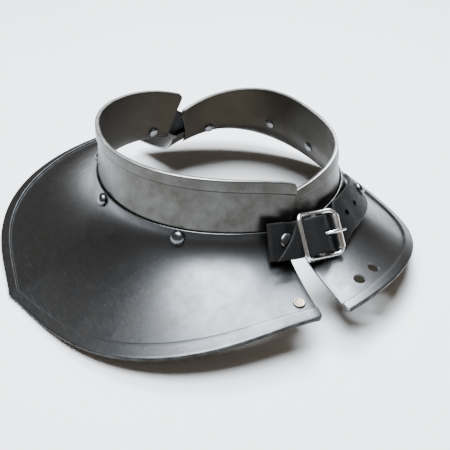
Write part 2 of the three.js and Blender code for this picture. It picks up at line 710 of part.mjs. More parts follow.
// Rivets through leather: the axis stands square to the leather and runs on through the plates
const FRONT_PLATES = ['front_yoke', 'front_collar'];
const LEATHER_RIVETS = [
  {
    name: 'chape_rivet',
    side: SIDES.buckle,
    across: 0,
    turn: FRONT.heading + END_RIVET_ANGLE + 2.5,
    leather: 'buckle_chape',
    plates: FRONT_PLATES,
    top: 5.3 + STAND,
    dome: 1.4,
  },
  {
    name: 'strap_rivet',
    side: SIDES.buckle,
    across: 0,
    turn: STRAP_RIVET_TURN,
    leather: 'closing_strap',
    plates: ['back_yoke'],
    top: LEATHER + STRAP_LIFT + STAND,
    dome: RIVET_DOME,
  },
  {
    name: 'hinge_rivet_front',
    side: SIDES.hinge,
    across: HINGE_RIVET_ACROSS,
    turn: FRONT.heading - END_RIVET_ANGLE,
    leather: 'hinge_strap',
    plates: FRONT_PLATES,
    top: LEATHER + LIFT + 0.15,
    dome: RIVET_DOME,
  },
  {
    name: 'hinge_rivet_back',
    side: SIDES.hinge,
    across: HINGE_RIVET_ACROSS,
    turn: BACK.heading + END_RIVET_ANGLE - 360,
    leather: 'hinge_strap',
    plates: ['back_yoke', 'back_collar'],
    top: LEATHER + LIFT + 0.15,
    dome: RIVET_DOME,
  },
];
for (const r of LEATHER_RIVETS) {
  const { along } = strapFrame(r.side, 'turn', r.turn);
  const centre = pointOn(r.side, along, r.across, -r.side.stand);
  const axis = pointOn(r.side, along, r.across, 1 - r.side.stand).sub(centre).normalize();
  const half = r.plates === FRONT_PLATES ? FRONT : BACK;
  const angle = r.turn - half.heading + (r.turn - half.heading < -180 ? 360 : 0);
  let nearest = Infinity;
  let depth = 0;
  let tilt = 1;
  for (let s = 0; s < 3 * FOOT; s += 0.25) {
    const p = onFace(half, angle, s, 0).sub(centre);
    const off = p.clone().addScaledVector(axis, -p.dot(axis)).length();
    if (off < nearest) [nearest, depth, tilt] = [off, p.dot(axis), faceFrame(half, angle, s).axis.dot(axis)];
  }
  drill([...r.plates, r.leather], centre, axis, SHANK + HOLE_SPARE, 12);
  const spare = RIVET_INNER * Math.sqrt(1 - tilt * tilt);
  const through = r.plates.length === 2 ? THROUGH : SHEET;
  solids[r.name] = rivet(centre, axis, r.top, depth - through - spare, RIVET_HEAD, r.dome);
}

// Locking stud on the front half, and the two holes it can press into on the back half
function fromEdge(half, angle) {
  const run = yokeRun(half, angle);
  return faceFrame(half, angle, run[run.length - 1].length - STUD_IN);
}
const stud = fromEdge(FRONT, STUD_ANGLE);
drill(['front_yoke'], stud.centre, stud.axis, SHANK + HOLE_SPARE);
solids.locking_stud = turned(stud.centre, stud.axis, [
  [0, -SHEET - 5.2],
  [2.2, -SHEET - 4.8],
  [2.9, -SHEET - 3.6],
  [2, -SHEET - 2.2],
  [2, -SHEET - 1.6],
  [STUD_HEAD, -SHEET - 1.2],
  [STUD_HEAD, -SHEET - SEAT],
  [SHANK, -SHEET - SEAT],
  [SHANK, SEAT],
  [STUD_HEAD, SEAT],
  [STUD_HEAD * 0.8, SEAT + 0.8],
  [0, SEAT + 0.9],
], RIVET_SIDES);
for (const angle of KEY_HOLE_ANGLES) {
  const hole = fromEdge(BACK, angle);
  drill(['back_yoke'], hole.centre, hole.axis, KEY_HOLE, 5);
}

const MATERIALS = {
  front_yoke: steel,
  back_yoke: steel,
  front_collar: steelInside,
  back_collar: steelInside,
  closing_strap: leather,
  buckle_chape: leather,
  hinge_strap: leather,
  buckle_frame: nickel,
  buckle_roller: nickel,
  buckle_prong: nickel,
  locking_stud: brass,
};
// The origin is the middle of the whole part's box, on the surface it lies on
const boxes = Object.values(solids).map((solid) => solid.boundingBox());
const low = [0, 1, 2].map((k) => Math.min(...boxes.map((box) => box.min[k])));
const high = [0, 1, 2].map((k) => Math.max(...boxes.map((box) => box.max[k])));
const home = [-(low[0] + high[0]) / 2, -(low[1] + high[1]) / 2, -low[2]];
for (const [name, solid] of Object.entries(solids)) {
  group.add(toMesh(solid.translate(home), name, MATERIALS[name] ?? rivetSteel));
}
export default group;
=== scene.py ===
"""Steel gorget: fine plates, rivets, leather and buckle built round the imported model.

Laid out as an add-on: settings in property groups, an operator for each kind of piece, one panel.
"""

import math
from dataclasses import dataclass

import bpy
import numpy as np
from bpy.props import FloatProperty, FloatVectorProperty, IntProperty, PointerProperty
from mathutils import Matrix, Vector


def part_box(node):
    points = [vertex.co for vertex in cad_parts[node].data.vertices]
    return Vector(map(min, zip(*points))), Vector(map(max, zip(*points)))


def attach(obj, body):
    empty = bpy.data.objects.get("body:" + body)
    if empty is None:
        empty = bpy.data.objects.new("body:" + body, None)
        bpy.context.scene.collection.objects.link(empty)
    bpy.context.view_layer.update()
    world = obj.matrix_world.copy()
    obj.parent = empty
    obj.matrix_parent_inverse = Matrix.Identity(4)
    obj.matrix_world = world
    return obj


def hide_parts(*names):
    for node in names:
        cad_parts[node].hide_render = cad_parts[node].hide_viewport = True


bl_info = {
    "name": "Steel gorget",
    "version": (1, 0, 0),
    "blender": (4, 5, 0),
    "location": "View3D > Sidebar > Gorget",
    "description": "Builds the plates, rivets, leather and buckle of a steel neck guard",
    "category": "Object",
}

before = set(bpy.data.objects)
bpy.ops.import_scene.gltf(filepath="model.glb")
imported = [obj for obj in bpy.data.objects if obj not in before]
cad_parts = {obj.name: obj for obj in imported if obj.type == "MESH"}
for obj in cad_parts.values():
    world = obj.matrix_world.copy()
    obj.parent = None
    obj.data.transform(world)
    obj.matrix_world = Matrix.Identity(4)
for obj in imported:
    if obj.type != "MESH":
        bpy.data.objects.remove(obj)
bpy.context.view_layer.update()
MM = 0.001

# Main sizes in millimetres, as in the part's source
NECK_RADIUS = 75
RIM_HEIGHT = 84
YOKE_REACH = 140
WALL_HEIGHT = 30
WALL_SPREAD = 5
FRONT_POINT = 6.8
POINT_WIDTH = 10
POINT_SOFT = 7
SHEET = 1.4
GAP = 0.35
FOOT = 11
YOKE_BORDER = 9
RIM_BAND = 7
RAISE = 1.5
FLANGE = 14
FLARE_OUT = 0.38
FLARE_DOWN = 0.72
BORDER_LEAN = 0.25

# Degrees each plate goes round from its half's middle, one way and the other,
# and how far its collar's ends slope in on the way down
YOKE_ENDS_FRONT = (-81.9, 81.9)
YOKE_ENDS_BACK = (-86.5, 98)
COLLAR_ENDS_FRONT = (-92.2, 91)
COLLAR_ENDS_BACK = (-91, 94)
END_CUTS_FRONT = (6.5, 5)
END_CUTS_BACK = (3, 4.5)
CUT_FROM = 80
CORNER_RADIUS = 3
COLLAR_CORNER = 3.5
SECTION_ANGLE = 15
ROLL_HEIGHT = 40
PLATE_STEP = 1.25

# How bright the edges are painted: wear, with a painted highlight, stronger on the collars' rims
YOKE_SHINE = 0.3
COLLAR_SHINE = 0.75

RIVET_DOWN = 5
RIVET_ANGLE = 40
MIDDLE_RIVET_ANGLE = -2.5
END_RIVET_ANGLE = 77
FLANGE_CURVE = 0.45
SEAT = 0.25
STUD_ANGLE = 78
STUD_IN = 14
KEY_HOLE_ANGLES = (-77, -70)
KEY_HOLE = 3.6

LEATHER = 2
LIFT = 0.6
STRAP_LIFT = 0.3
TAIL_SHORT = 12.8
TAIL_LONG = 30.5
TAIL_SLANTS_TO = 21
STRAP_HALF_WIDTH = 10.9
STRAP_DOWN = 6.2
STRAP_DOWN_BACK = 9.8
STRAP_DROP = 12
STRAP_DROPS_FROM = 8
STRAP_DROPS_TO = 55
STRAP_DROP_POWER = 2.2
STRAP_RIVET_TURN = 50
STRAP_PAST = 10
HINGE_HALF_WIDTH = 10
HINGE_DOWN = -2.5
HINGE_DOWN_BACK = 0
HINGE_RIVET_ACROSS = 5.5
HINGE_PAST = 8
STAND = 1.1
RIGID_FROM = 14
RIGID_TO = 24
FREE_HOLES = (24.6, 33.6)
SMALL_HOLE = 2

MIDDLE_BAR_ANGLE = 6.2
BUCKLE_HEADING = 6
BUCKLE_LEAN = 37.6
BUCKLE_DIP = 7.5
BUCKLE_HALF = 13.4
RAIL_HALF = 13
WIRE = 1.45
LEFT_BAR_UP = 10.7
MIDDLE_BAR_UP = 5.6
ROLLER_UP = 7.8
ROLLER_RADIUS = 2.3
PRONG_WIRE = 1.05

# Slots for the prong: along and up to the middle, then length, width and depth
STRAP_SLOT = (5, 8.6, 7, 3.6, 7)
CHAPE_SLOT = (1.5, MIDDLE_BAR_UP, 11, 5, 8)

# Faces that meet at more than this many degrees keep a sharp edge
SMOOTH_RIVET = 40
SMOOTH_TURNED = 45
SMOOTH_SHEET = 50
SMOOTH_WIRE = 60

# A row for each section, every SECTION_ANGLE degrees: shares of the sizes above
SECTION_COLUMNS = ("rim", "rim_up", "spread", "wall", "edge", "edge_up", "border")
FRONT_SECTIONS = (
    (1.12, 1.015, 0.68, 1.107, 1.06, 0.008, 0.7),
    (1.12, 1.021, 0.72, 1.123, 1.077, 0.026, 0.78),
    (1.117, 1.022, 0.8, 1.113, 1.103, 0.079, 0.9),
    (1.088, 1.011, 1.12, 1.08, 1.093, 0.155, 1.03),
    (1.043, 0.985, 1.42, 1.033, 1.034, 0.232, 0.92),
    (1.0, 0.94, 1.52, 0.983, 0.971, 0.277, 0.75),
    (0.974, 0.865, 1.42, 0.91, 0.97, 0.248, 0.72),
    (0.972, 0.767, 1.34, 0.813, 1.03, 0.14, 0.72),
)
BACK_SECTIONS = (
    (0.784, 0.93, 0.62, 0.76, 0.814, 0.008, 0.72),
    (0.807, 0.927, 0.7, 0.755, 0.824, 0.026, 0.72),
    (0.865, 0.918, 0.95, 0.745, 0.849, 0.084, 0.72),
    (0.932, 0.898, 1.15, 0.735, 0.886, 0.162, 0.72),
    (0.976, 0.862, 1.2, 0.72, 0.924, 0.229, 0.72),
    (0.983, 0.806, 1.25, 0.705, 0.956, 0.254, 0.72),
    (0.956, 0.729, 1.4, 0.69, 0.979, 0.217, 0.72),
    (0.919, 0.635, 1.56, 0.67, 0.988, 0.113, 0.72),
)

# Along the strap from the buckle's middle bar, and up to the middle of the leather
STRAP_RISE = (
    (-30.5, 9), (-26, 9), (-18, 9), (-13.4, 7.5), (-8, 8.4), (-4, 10.6), (0, 11.1),
    (3, 10.8), (6, 8.6), (9, 5.2), (13.4, 4.2), (18, 3.9), (24, 2.9), (30, 2.1),
)
CHAPE_RISE = (
    (-32, 1.7), (-22, 1.8), (-12, 1.8), (-5, 2.1), (0, 2.75), (2.1, 3.5), (2.95, 5.6), (2.1, 7.7),
    (0, 8.55), (-2.6, 7.9), (-6, 5.5), (-10, 4.2), (-16, 4.15), (-22, 4.15), (-32, 4.05),
)


# Shape: the two halves

class Half:
    """One half of the gorget: its sections, and how it lies."""

    def __init__(self, sections, point, heading, roll, shift, border_lean, end_cuts):
        rows = np.array(sections)
        self.columns = {name: Spline(rows[:, i]) for i, name in enumerate(SECTION_COLUMNS)}
        self.point = point
        self.heading = heading
        self.roll = roll
        self.shift = shift
        self.border_lean = border_lean
        self.end_cuts = end_cuts

    def rim(self, angle):
        c = self.columns
        return np.array([NECK_RADIUS * c["rim"](angle), RIM_HEIGHT * c["rim_up"](angle)])

    def joint(self, angle):
        c = self.columns
        step = [WALL_SPREAD * c["spread"](angle), -WALL_HEIGHT * c["wall"](angle)]
        return self.rim(angle) + step

    def edge(self, angle):
        c = self.columns
        peak = self.point * math.exp(-math.hypot(angle, POINT_SOFT) / POINT_WIDTH)
        return np.array([YOKE_REACH * c["edge"](angle) + peak, RIM_HEIGHT * c["edge_up"](angle)])

    def wall_line(self, angle):
        return unit(self.joint(angle) - self.rim(angle))

    def yoke_run(self, angle, count=64):
        """The yoke's section as points, and the length run at each."""
        j, e = self.joint(angle), self.edge(angle)
        b = j + self.wall_line(angle) * FLANGE
        c = j + (e - j) * [FLARE_OUT, FLARE_DOWN]
        t = np.linspace(0, 1, count + 1)[:, None]
        u = 1 - t
        points = u ** 3 * j + 3 * u * u * t * b + 3 * u * t * t * c + t ** 3 * e
        sharp = math.exp(-abs(angle) / POINT_WIDTH) - math.exp(-math.hypot(angle, POINT_SOFT) / POINT_WIDTH)
        points[:, 0] += self.point * sharp * t[:, 0] ** 6
        return points, lengths_along(points)

    def face(self, angle, s, run=None):
        """Point and outward normal: down the yoke if s is over 0, up the wall if under."""
        if s < 0:
            w = self.wall_line(angle)
            return self.joint(angle) + w * s, np.array([-w[1], w[0]])
        points, lengths = run or self.yoke_run(angle)
        return point_and_normal(s, lengths, points, 1)

    def place(self, angle, pair):
        p = math.radians(angle)
        x, y = pair[0] * math.cos(p), pair[0] * math.sin(p) + self.shift
        up = pair[1] - ROLL_HEIGHT
        k = math.radians(self.roll)
        side = y * math.cos(k) - up * math.sin(k)
        z = ROLL_HEIGHT + y * math.sin(k) + up * math.cos(k)
        h = math.radians(self.heading)
        cos, sin = math.cos(h), math.sin(h)
        return np.array([x * cos - side * sin, x * sin + side * cos, z])

    def on_face(self, angle, s, up=0.0):
        p, n = self.face(angle, s)
        return self.place(angle, p + n * up)

    def border(self, angle):
        """How wide the yoke's raised border is."""
        lean = 1 + self.border_lean * math.sin(math.radians(angle))
        return YOKE_BORDER * self.columns["border"](angle) * lean

    def seat_in(self, angle, distance):
        """A seat at a distance in from the outer edge."""
        return self.seat(angle, self.yoke_run(angle)[1][-1] - distance)

    def seat(self, angle, s):
        """A point on the outer face and the true outward direction there."""
        centre = self.on_face(angle, s)
        around = self.on_face(angle + 1, s) - self.on_face(angle - 1, s)
        down = self.on_face(angle, s + 1) - self.on_face(angle, s - 1)
        return centre, unit(np.cross(down, around))


class Spline:
    """Smooth curve through values every SECTION_ANGLE degrees, level in the middle of a half."""

    def __init__(self, values):
        n = len(values)
        h = SECTION_ANGLE
        a = np.zeros((n, n))
        b = np.zeros(n)
        a[0, :2] = 2, 1
        b[0] = 6 * (values[1] - values[0]) / h ** 2
        for i in range(1, n - 1):
            a[i, i - 1:i + 2] = 1, 4, 1
            b[i] = 6 * (values[i + 1] - 2 * values[i] + values[i - 1]) / h ** 2
        a[-1, -1] = 1
        self.values = np.array(values)
        self.bends = np.linalg.solve(a, b)

    def __call__(self, angle):
        h = SECTION_ANGLE
        i = min(int(abs(angle) // h), len(self.values) - 2)
        t = abs(angle) / h - i
        y, m = self.values, self.bends
        line = y[i] * (1 - t) + y[i + 1] * t
        curl = ((1 - t) ** 3 - (1 - t)) * m[i] + (t ** 3 - t) * m[i + 1]
        return line + h * h / 6 * curl


def unit(v):
    return v / np.linalg.norm(v)


def lengths_along(points):
    return np.concatenate([[0], np.cumsum(np.linalg.norm(np.diff(points, axis=0), axis=1))])


def read_at(value, known, points):
    """Every column of points, read where known has the value."""
    return np.array([np.interp(value, known, column) for column in points.T])


def point_and_normal(value, known, points, reach):
    """A point of a flat curve and the direction square to it."""
    p, a, b = (read_at(v, known, points) for v in (value, value - reach, value + reach))
    d = unit(b - a)
    return p, np.array([-d[1], d[0]])


def fade(t):
    u = min(max(t, 0.0), 1.0)
    return u * u * (3 - 2 * u)


FRONT = Half(FRONT_SECTIONS, FRONT_POINT, -87.6, -0.55, 0, BORDER_LEAN, END_CUTS_FRONT)
BACK = Half(BACK_SECTIONS, 0, 87.6, -0.63, 2.4, 0, END_CUTS_BACK)


# Shape: meshes

def add_object(name, data):
    made = bpy.data.objects.new(name, data)
    bpy.context.scene.collection.objects.link(made)
    return made


def mesh_object(name, vertices, faces=()):
    """An object in metres from vertices in millimetres."""
    mesh = bpy.data.meshes.new(name)
    mesh.from_pydata([tuple(np.asarray(v) * MM) for v in vertices], [], faces)
    return add_object(name, mesh)


def drop(*spares):
    for spare in spares:
        mesh = spare.data
        bpy.data.objects.remove(spare)
        bpy.data.meshes.remove(mesh)


def settle(piece):
    """Turns a piece's modifiers into plain mesh."""
    old = piece.data
    piece_now = piece.evaluated_get(bpy.context.evaluated_depsgraph_get())
    piece.data = bpy.data.meshes.new_from_object(piece_now)
    piece.modifiers.clear()
    bpy.data.meshes.remove(old)
    piece.data.name = piece.name


def new_piece(name, vertices, faces, slot, node, material, smooth_angle):
    """A finished piece riding on the one body."""
    piece = mesh_object(name, vertices + HOME, faces)
    piece.data.validate()
    smooth(piece.data, smooth_angle)
    claim(piece, slot, (node,))
    piece.data.materials.append(material)
    return piece


def smooth(mesh, angle):
    mesh.shade_smooth()
    mesh.set_sharp_from_angle(angle=math.radians(angle))


def claim(piece, slot, replaces):
    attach(piece, "root")
    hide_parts(*replaces)


def set_attribute(piece, name, values):
    attribute = piece.data.attributes.new(name, "FLOAT", "POINT")
    attribute.data.foreach_set("value", np.asarray(values, dtype=np.float32))


def loft(rings, closed=False):
    """Vertices and faces of rings of paired points: first half one face, second half the other."""
    n = len(rings[0])
    vertices = np.concatenate([np.asarray(r) for r in rings])
    faces = []
    turns = len(rings) if closed else len(rings) - 1
    for i in range(turns):
        j = (i + 1) % len(rings)
        for k in range(n):
            m = (k + 1) % n
            faces.append((i * n + k, j * n + k, j * n + m, i * n + m))
    if not closed:
        for base, flip in ((0, False), ((len(rings) - 1) * n, True)):
            for k in range(n // 2 - 1):
                quad = (base + k, base + k + 1, base + n - 2 - k, base + n - 1 - k)
                faces.append(quad[::-1] if flip else quad)
    return outward(vertices, faces)


def outward(vertices, faces):
    """The solid with all its faces turned outward, told by the sign of its volume."""
    volume = 0.0
    for f in faces:
        for k in range(1, len(f) - 1):
            volume += vertices[f[0]] @ np.cross(vertices[f[k]], vertices[f[k + 1]])
    return vertices, [f[::-1] for f in faces] if volume < 0 else faces


# Rounding of a sheet's edge: distance in from the edge, and how much thinner each face is
EDGE_ROUND = ((0, 0.42), (0.07, 0.2), (0.2, 0.07), (0.42, 0))


def stations(ends, step):
    """Angles from one end to the other, with a few close ones at the rounded ends."""
    low, high = ends
    inner = np.arange(math.ceil(low / step) + 1, math.floor(high / step)) * step
    close = [(math.degrees(d / NECK_RADIUS), thin) for d, thin in EDGE_ROUND]
    right = [(high - d, thin) for d, thin in close]
    return [(low + d, thin) for d, thin in close] + [(a, 0.0) for a in inner] + right[::-1]


def plate(half, rows, ends, step=PLATE_STEP):
    """A pressed sheet: every row gives its point, normal, lift and thinning. Its inner face is smooth."""
    rings = []
    for angle, thin_end in stations(ends, step):
        outer, inner = [], []
        for row_angle, p, n, up, thin in rows(half, angle, ends):
            t = max(thin, thin_end)
            outer.append(half.place(row_angle, p + n * (up - t)))
            inner.append(half.place(row_angle, p + n * (t - SHEET)))
        rings.append(outer + inner[::-1])
    return rings


# The step up to a raised border: distance past its start, and the share of RAISE reached
BORDER_STEP = (
    (-1.6, 0), (-0.5, 0), (-0.12, 0), (0.02, 0.06), (0.16, 0.4), (0.36, 0.8), (0.62, 0.96), (1.1, 1),
)
YOKE_SHARES = np.linspace(0, 1, 22)


def yoke_steps(total, border):
    """Distances down the yoke with the lift and thinning at each."""
    start = total - border
    steps = [(d, 0.0, thin) for d, thin in EDGE_ROUND]
    free = start - 2.4
    steps += [(0.42 + (free - 0.42) * s, 0.0, 0.0) for s in YOKE_SHARES[1:]]
    steps += [(start + d, RAISE * share, 0.0) for d, share in BORDER_STEP]
    steps += [(start + 1.1 + (border - 1.6) * share, RAISE, 0.0) for share in (0.2, 0.4, 0.6, 0.8, 0.95)]
    steps += [(total - d, RAISE - 0.1, thin) for d, thin in EDGE_ROUND[::-1]]
    return steps


def yoke_rows(half, angle, ends):
    total = half.yoke_run(angle)[1][-1]
    for s, up, thin in yoke_steps(total, half.border(angle)):
        from_edge = total - s
        row_angle = angle
        if from_edge < CORNER_RADIUS:
            cut = CORNER_RADIUS - math.sqrt(CORNER_RADIUS ** 2 - (CORNER_RADIUS - from_edge) ** 2)
            near = fade((angle - ends[1]) / 5 + 1) - fade((ends[0] - angle) / 5 + 1)
            row_angle -= math.degrees(cut / YOKE_REACH) * near
        run = half.yoke_run(row_angle)
        p, n = half.face(row_angle, s * run[1][-1] / total, run)
        yield row_angle, p, n, up, thin


def collar_rows(half, top, ends):
    way = 1 if top > 0 else 0
    past = max(abs(top) - CUT_FROM, 0) / (abs(ends[way]) - CUT_FROM)
    drop = SHEET + GAP

    near = fade((top - ends[1]) / 5 + 1) - fade((ends[0] - top) / 5 + 1)

    def lean(t, d=COLLAR_CORNER):
        short = max(COLLAR_CORNER - d, 0)
        cut = COLLAR_CORNER - math.sqrt(COLLAR_CORNER ** 2 - short ** 2)
        slope = math.copysign(half.end_cuts[way] * past * t, top)
        return top - slope - math.degrees(cut / NECK_RADIUS) * near

    def under(angle, s):
        p, n = half.face(angle, s)
        return p - n * drop, n

    tall = np.linalg.norm(half.rim(top) - half.joint(top))
    steps = [(d, RAISE, thin) for d, thin in EDGE_ROUND]
    steps += [(d, RAISE, 0.0) for d in (0.9, 1.5, 2.2, 3, 4, 5.2)]
    steps += [(RIM_BAND + 0.5 - d, RAISE * share, 0.0) for d, share in BORDER_STEP[::-1]]
    steps += [(RIM_BAND + 2.6 + (tall - RIM_BAND - 3) * s, 0.0, 0.0) for s in np.linspace(0, 0.92, 9)]
    for d, up, thin in steps:
        t = d / tall
        angle = lean(t, d)
        rim, (low, _) = half.rim(angle), under(angle, 0)
        down = unit(low - rim)
        yield angle, rim + (low - rim) * t, np.array([-down[1], down[0]]), up, thin
    angle = lean(1)
    for s in (0.6, 2, 3.5, 5, 6.5, 8, 9.4):
        p, n = under(angle, s)
        yield angle, p, n, 0.0, 0.0
    for d, thin in EDGE_ROUND[::-1]:
        p, n = under(angle, FOOT - d)
        yield angle, p, n, 0.0, thin


def home_offset():
    """Moves the shape's own axis to the frame's origin, from where the front yoke is."""
    rings = np.concatenate(plate(FRONT, yoke_rows, YOKE_ENDS_FRONT, 5))
    low, high = (np.array(v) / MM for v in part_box("front_yoke"))
    return (low + high) / 2 - (rings.min(0) + rings.max(0)) / 2


HOME = home_offset()


# Shape: straps

@dataclass
class StrapSide:
    """Where a strap runs: its half width, middle angle and the way down each half's face."""
    half_width: float
    middle: float
    front: float
    back: float
    drop: float
    start: float
    end: float
    stand: float

    def __post_init__(self):
        self.line = self.make_line()

    def edge(self, turn, s):
        past = max((turn - STRAP_DROPS_FROM) / (STRAP_DROPS_TO - STRAP_DROPS_FROM), 0)
        first = FRONT.on_face(turn - FRONT.heading, self.front + s)
        back_turn = turn - BACK.heading + (360 if turn < -90 else 0)
        second = BACK.on_face(back_turn, self.back + self.drop * past ** STRAP_DROP_POWER + s)
        t = fade((turn - self.start) / (self.end - self.start))
        return first * (1 - t) + second * t

    def make_line(self):
        turns = self.middle + np.arange(-40, 61)
        upper = np.array([self.edge(t, -self.half_width) for t in turns])
        under = np.array([self.edge(t, self.half_width) for t in turns])
        middle = (upper + under) / 2
        ahead = np.gradient(middle, axis=0)
        ahead /= np.linalg.norm(ahead, axis=1)[:, None]
        across = under - upper
        across /= np.linalg.norm(across, axis=1)[:, None]
        across -= ahead * np.sum(across * ahead, axis=1)[:, None]
        across /= np.linalg.norm(across, axis=1)[:, None]
        out = np.cross(across, ahead)
        away = np.sum(out[:, :2] * middle[:, :2], axis=1) < 0
        out[away] *= -1
        along = lengths_along(middle)
        return {"turn": turns, "along": along - along[40], "middle": middle, "across": across, "out": out}

    def frame_at(self, key, value):
        line = self.line
        middle, across, out = (read_at(value, line[key], line[name]) for name in ("middle", "across", "out"))
        return middle, unit(across), unit(out)

    def along_at(self, turn):
        return float(np.interp(turn, self.line["turn"], self.line["along"]))

    def point(self, along, across, up):
        middle, side, out = self.frame_at("along", along)
        p = middle + side * across + out * (up + self.stand)
        if self.stand:
            t = fade((RIGID_TO - abs(along)) / (RIGID_TO - RIGID_FROM))
            p = p * (1 - t) + rigid_point(along, across, up) * t
        return p


HINGE_SIDE = StrapSide(HINGE_HALF_WIDTH, -180, HINGE_DOWN, HINGE_DOWN_BACK, 0, -174, -186, 0)
BUCKLE_SIDE = StrapSide(
    STRAP_HALF_WIDTH, MIDDLE_BAR_ANGLE, STRAP_DOWN, STRAP_DOWN_BACK, STRAP_DROP, -4, 20, STAND,
)


def buckle_axes():
    """Along, across and out of the buckle, which leans back and dips a little to the back half."""
    head, back, dip = (math.radians(v) for v in (BUCKLE_HEADING, BUCKLE_LEAN, BUCKLE_DIP))
    level_out = np.array([math.cos(head), math.sin(head), 0])
    out = level_out * math.cos(back) + np.array([0, 0, math.sin(back)])
    level = np.array([-math.sin(head), math.cos(head), 0])
    ahead = level * math.cos(dip) + np.cross(level, out) * math.sin(dip)
    return ahead, np.cross(ahead, out), out


BUCKLE_MIDDLE = BUCKLE_SIDE.frame_at("along", 0.0)[0]
BUCKLE_AHEAD, BUCKLE_ACROSS, BUCKLE_OUT = buckle_axes()


def rigid_point(along, across, up):
    """Near the buckle all lies square to its middle bar."""
    return BUCKLE_MIDDLE + BUCKLE_AHEAD * along + BUCKLE_ACROSS * across + BUCKLE_OUT * (up + STAND)


def smooth_path(rows, gap=1.0):
    """A smooth curve through rows, sampled about every gap."""
    rows = np.array(rows, dtype=float)
    padded = np.vstack([2 * rows[0] - rows[1], rows, 2 * rows[-1] - rows[-2]])
    out = []
    for i in range(1, len(padded) - 2):
        a, b, c, d = padded[i - 1:i + 3]
        count = max(int(np.linalg.norm(c - b) / gap), 2)
        for t in np.arange(count) / count:
            out.append(0.5 * (2 * b + (c - a) * t + (2 * a - 5 * b + 4 * c - d) * t ** 2
                              + (3 * b - a - 3 * c + d) * t ** 3))
    out.append(padded[-2])
    return np.array(out)


# Rounding of cut leather: distance in from the edge and thinning of each face
LEATHER_ROUND = ((0, 0.75), (0.12, 0.45), (0.35, 0.2), (0.8, 0.04), (1.4, 0))


def leather_strip(side, rows, start_of=None, gap=1.0):
    """A strip of leather along a path, its edges and ends rounded over."""
    path = smooth_path(rows, gap)
    lengths = lengths_along(path)
    total = lengths[-1]
    marks = {*lengths.tolist(), *(d for d, _ in LEATHER_ROUND), *(total - d for d, _ in LEATHER_ROUND)}
    marks = sorted(marks)
    w = side.half_width
    edge = [(-w + d, thin) for d, thin in LEATHER_ROUND]
    columns = edge + [(x, 0.0) for x in np.linspace(-w + 2.6, w - 2.6, 9)]
    columns += [(-x, thin) for x, thin in edge[::-1]]
    rings = []
    for mark in marks:
        p, n = point_and_normal(mark, lengths, path, 0.6)
        from_end = min(mark, total - mark)
        thin_end = np.interp(from_end, *zip(*LEATHER_ROUND))
        top, low = [], []
        for x, thin in columns:
            half_thick = LEATHER / 2 - max(thin, thin_end)
            shift = start_of(x, mark) if start_of else 0.0
            for face, into in ((1, top), (-1, low)):
                q = p + n * half_thick * face
                into.append(side.point(q[0] + shift, x, q[1]))
        rings.append(top + low[::-1])
    return rings, edge_shares(columns, marks, total)


def edge_shares(columns, marks, total):
    """1 on the cut edges of a strip, fading to 0 on its faces."""
    full = LEATHER_ROUND[0][1]
    out = []
    for mark in marks:
        end = np.interp(min(mark, total - mark), *zip(*LEATHER_ROUND)) / full
        row = [max(thin / full, end) for _, thin in columns]
        out += row + row[::-1]
    return out


# Shape: round bars and turned pieces

def sweep(points, radii, sides, closed, reference):
    """A round bar along points, its section turned by a reference direction."""
    points = np.array(points)
    n = len(points)
    rings = []
    for i, p in enumerate(points):
        a = points[(i - 1) % n] if closed else points[max(i - 1, 0)]
        b = points[(i + 1) % n] if closed else points[min(i + 1, n - 1)]
        d = unit(b - a)
        side = unit(np.cross(reference, d))
        up = np.cross(d, side)
        turns = (np.arange(sides) + 0.5) * 2 * math.pi / sides
        rings.append([p + radii[i] * (math.cos(t) * side + math.sin(t) * up) for t in turns])
    return loft(rings, closed)


def turned_profile(profile, sides):
    """A solid turned about Z from radius and height pairs that start and end on the axis."""
    turns = np.arange(sides) * 2 * math.pi / sides
    vertices = [(0, 0, profile[0][1])]
    for r, h in profile[1:-1]:
        vertices += [(r * math.cos(t), r * math.sin(t), h) for t in turns]
    vertices.append((0, 0, profile[-1][1]))
    last = len(vertices) - 1
    rows = len(profile) - 2
    faces = []
    for k in range(sides):
        m = (k + 1) % sides
        faces.append((0, 1 + m, 1 + k))
        for i in range(rows - 1):
            a, b = 1 + i * sides, 1 + (i + 1) * sides
            faces.append((a + k, a + m, b + m, b + k))
        faces.append((last, last - sides + k, last - sides + m))
    return outward(np.array(vertices, dtype=float), faces)


def axis_frame(axis):
    first = np.array([0.0, 0.0, 1.0]) if abs(axis[2]) < 0.9 else np.array([1.0, 0.0, 0.0])
    x = unit(np.cross(first, axis))
    return x, np.cross(axis, x)


def turned_at(centre, axis, profile, sides):
    vertices, faces = turned_profile(profile, sides)
    x, y = axis_frame(axis)
    return centre + vertices[:, :1] * x + vertices[:, 1:2] * y + vertices[:, 2:] * axis, faces


def cut_holes(piece, cutters):
    """Cuts round or slotted holes, each cutter a set of vertices and faces."""
    vertices, faces = [], []
    for v, f in cutters:
        base = len(vertices)
        vertices += list(v + HOME)
        faces += [tuple(k + base for k in face) for face in f]
    cutter = mesh_object("hole_cutters", vertices, faces)
    cut = piece.modifiers.new("holes", "BOOLEAN")
    cut.operation = "DIFFERENCE"
    cut.solver = "EXACT"
    cut.object = cutter
    settle(piece)
    drop(cutter)
    smooth(piece.data, SMOOTH_SHEET)


def hole(centre, axis, radius, reach=6, sides=32):
    return turned_at(centre, axis, ((0, -reach), (radius, -reach), (radius, reach), (0, reach)), sides)


# Materials: shared effects

def group_socket(tree, name, kind, direction="INPUT", value=None):
    socket = tree.interface.new_socket(name=name, in_out=direction, socket_type=kind)
    if value is not None:
        socket.default_value = value


def new_group(name, inputs, outputs):
    tree = bpy.data.node_groups.new(name, "ShaderNodeTree")
    for label, value in inputs:
        group_socket(tree, label, "NodeSocketFloat", value=value)
    for label in outputs:
        group_socket(tree, label, "NodeSocketFloat", "OUTPUT")
    start = tree.nodes.new("NodeGroupInput")
    end = tree.nodes.new("NodeGroupOutput")
    return tree, start, end


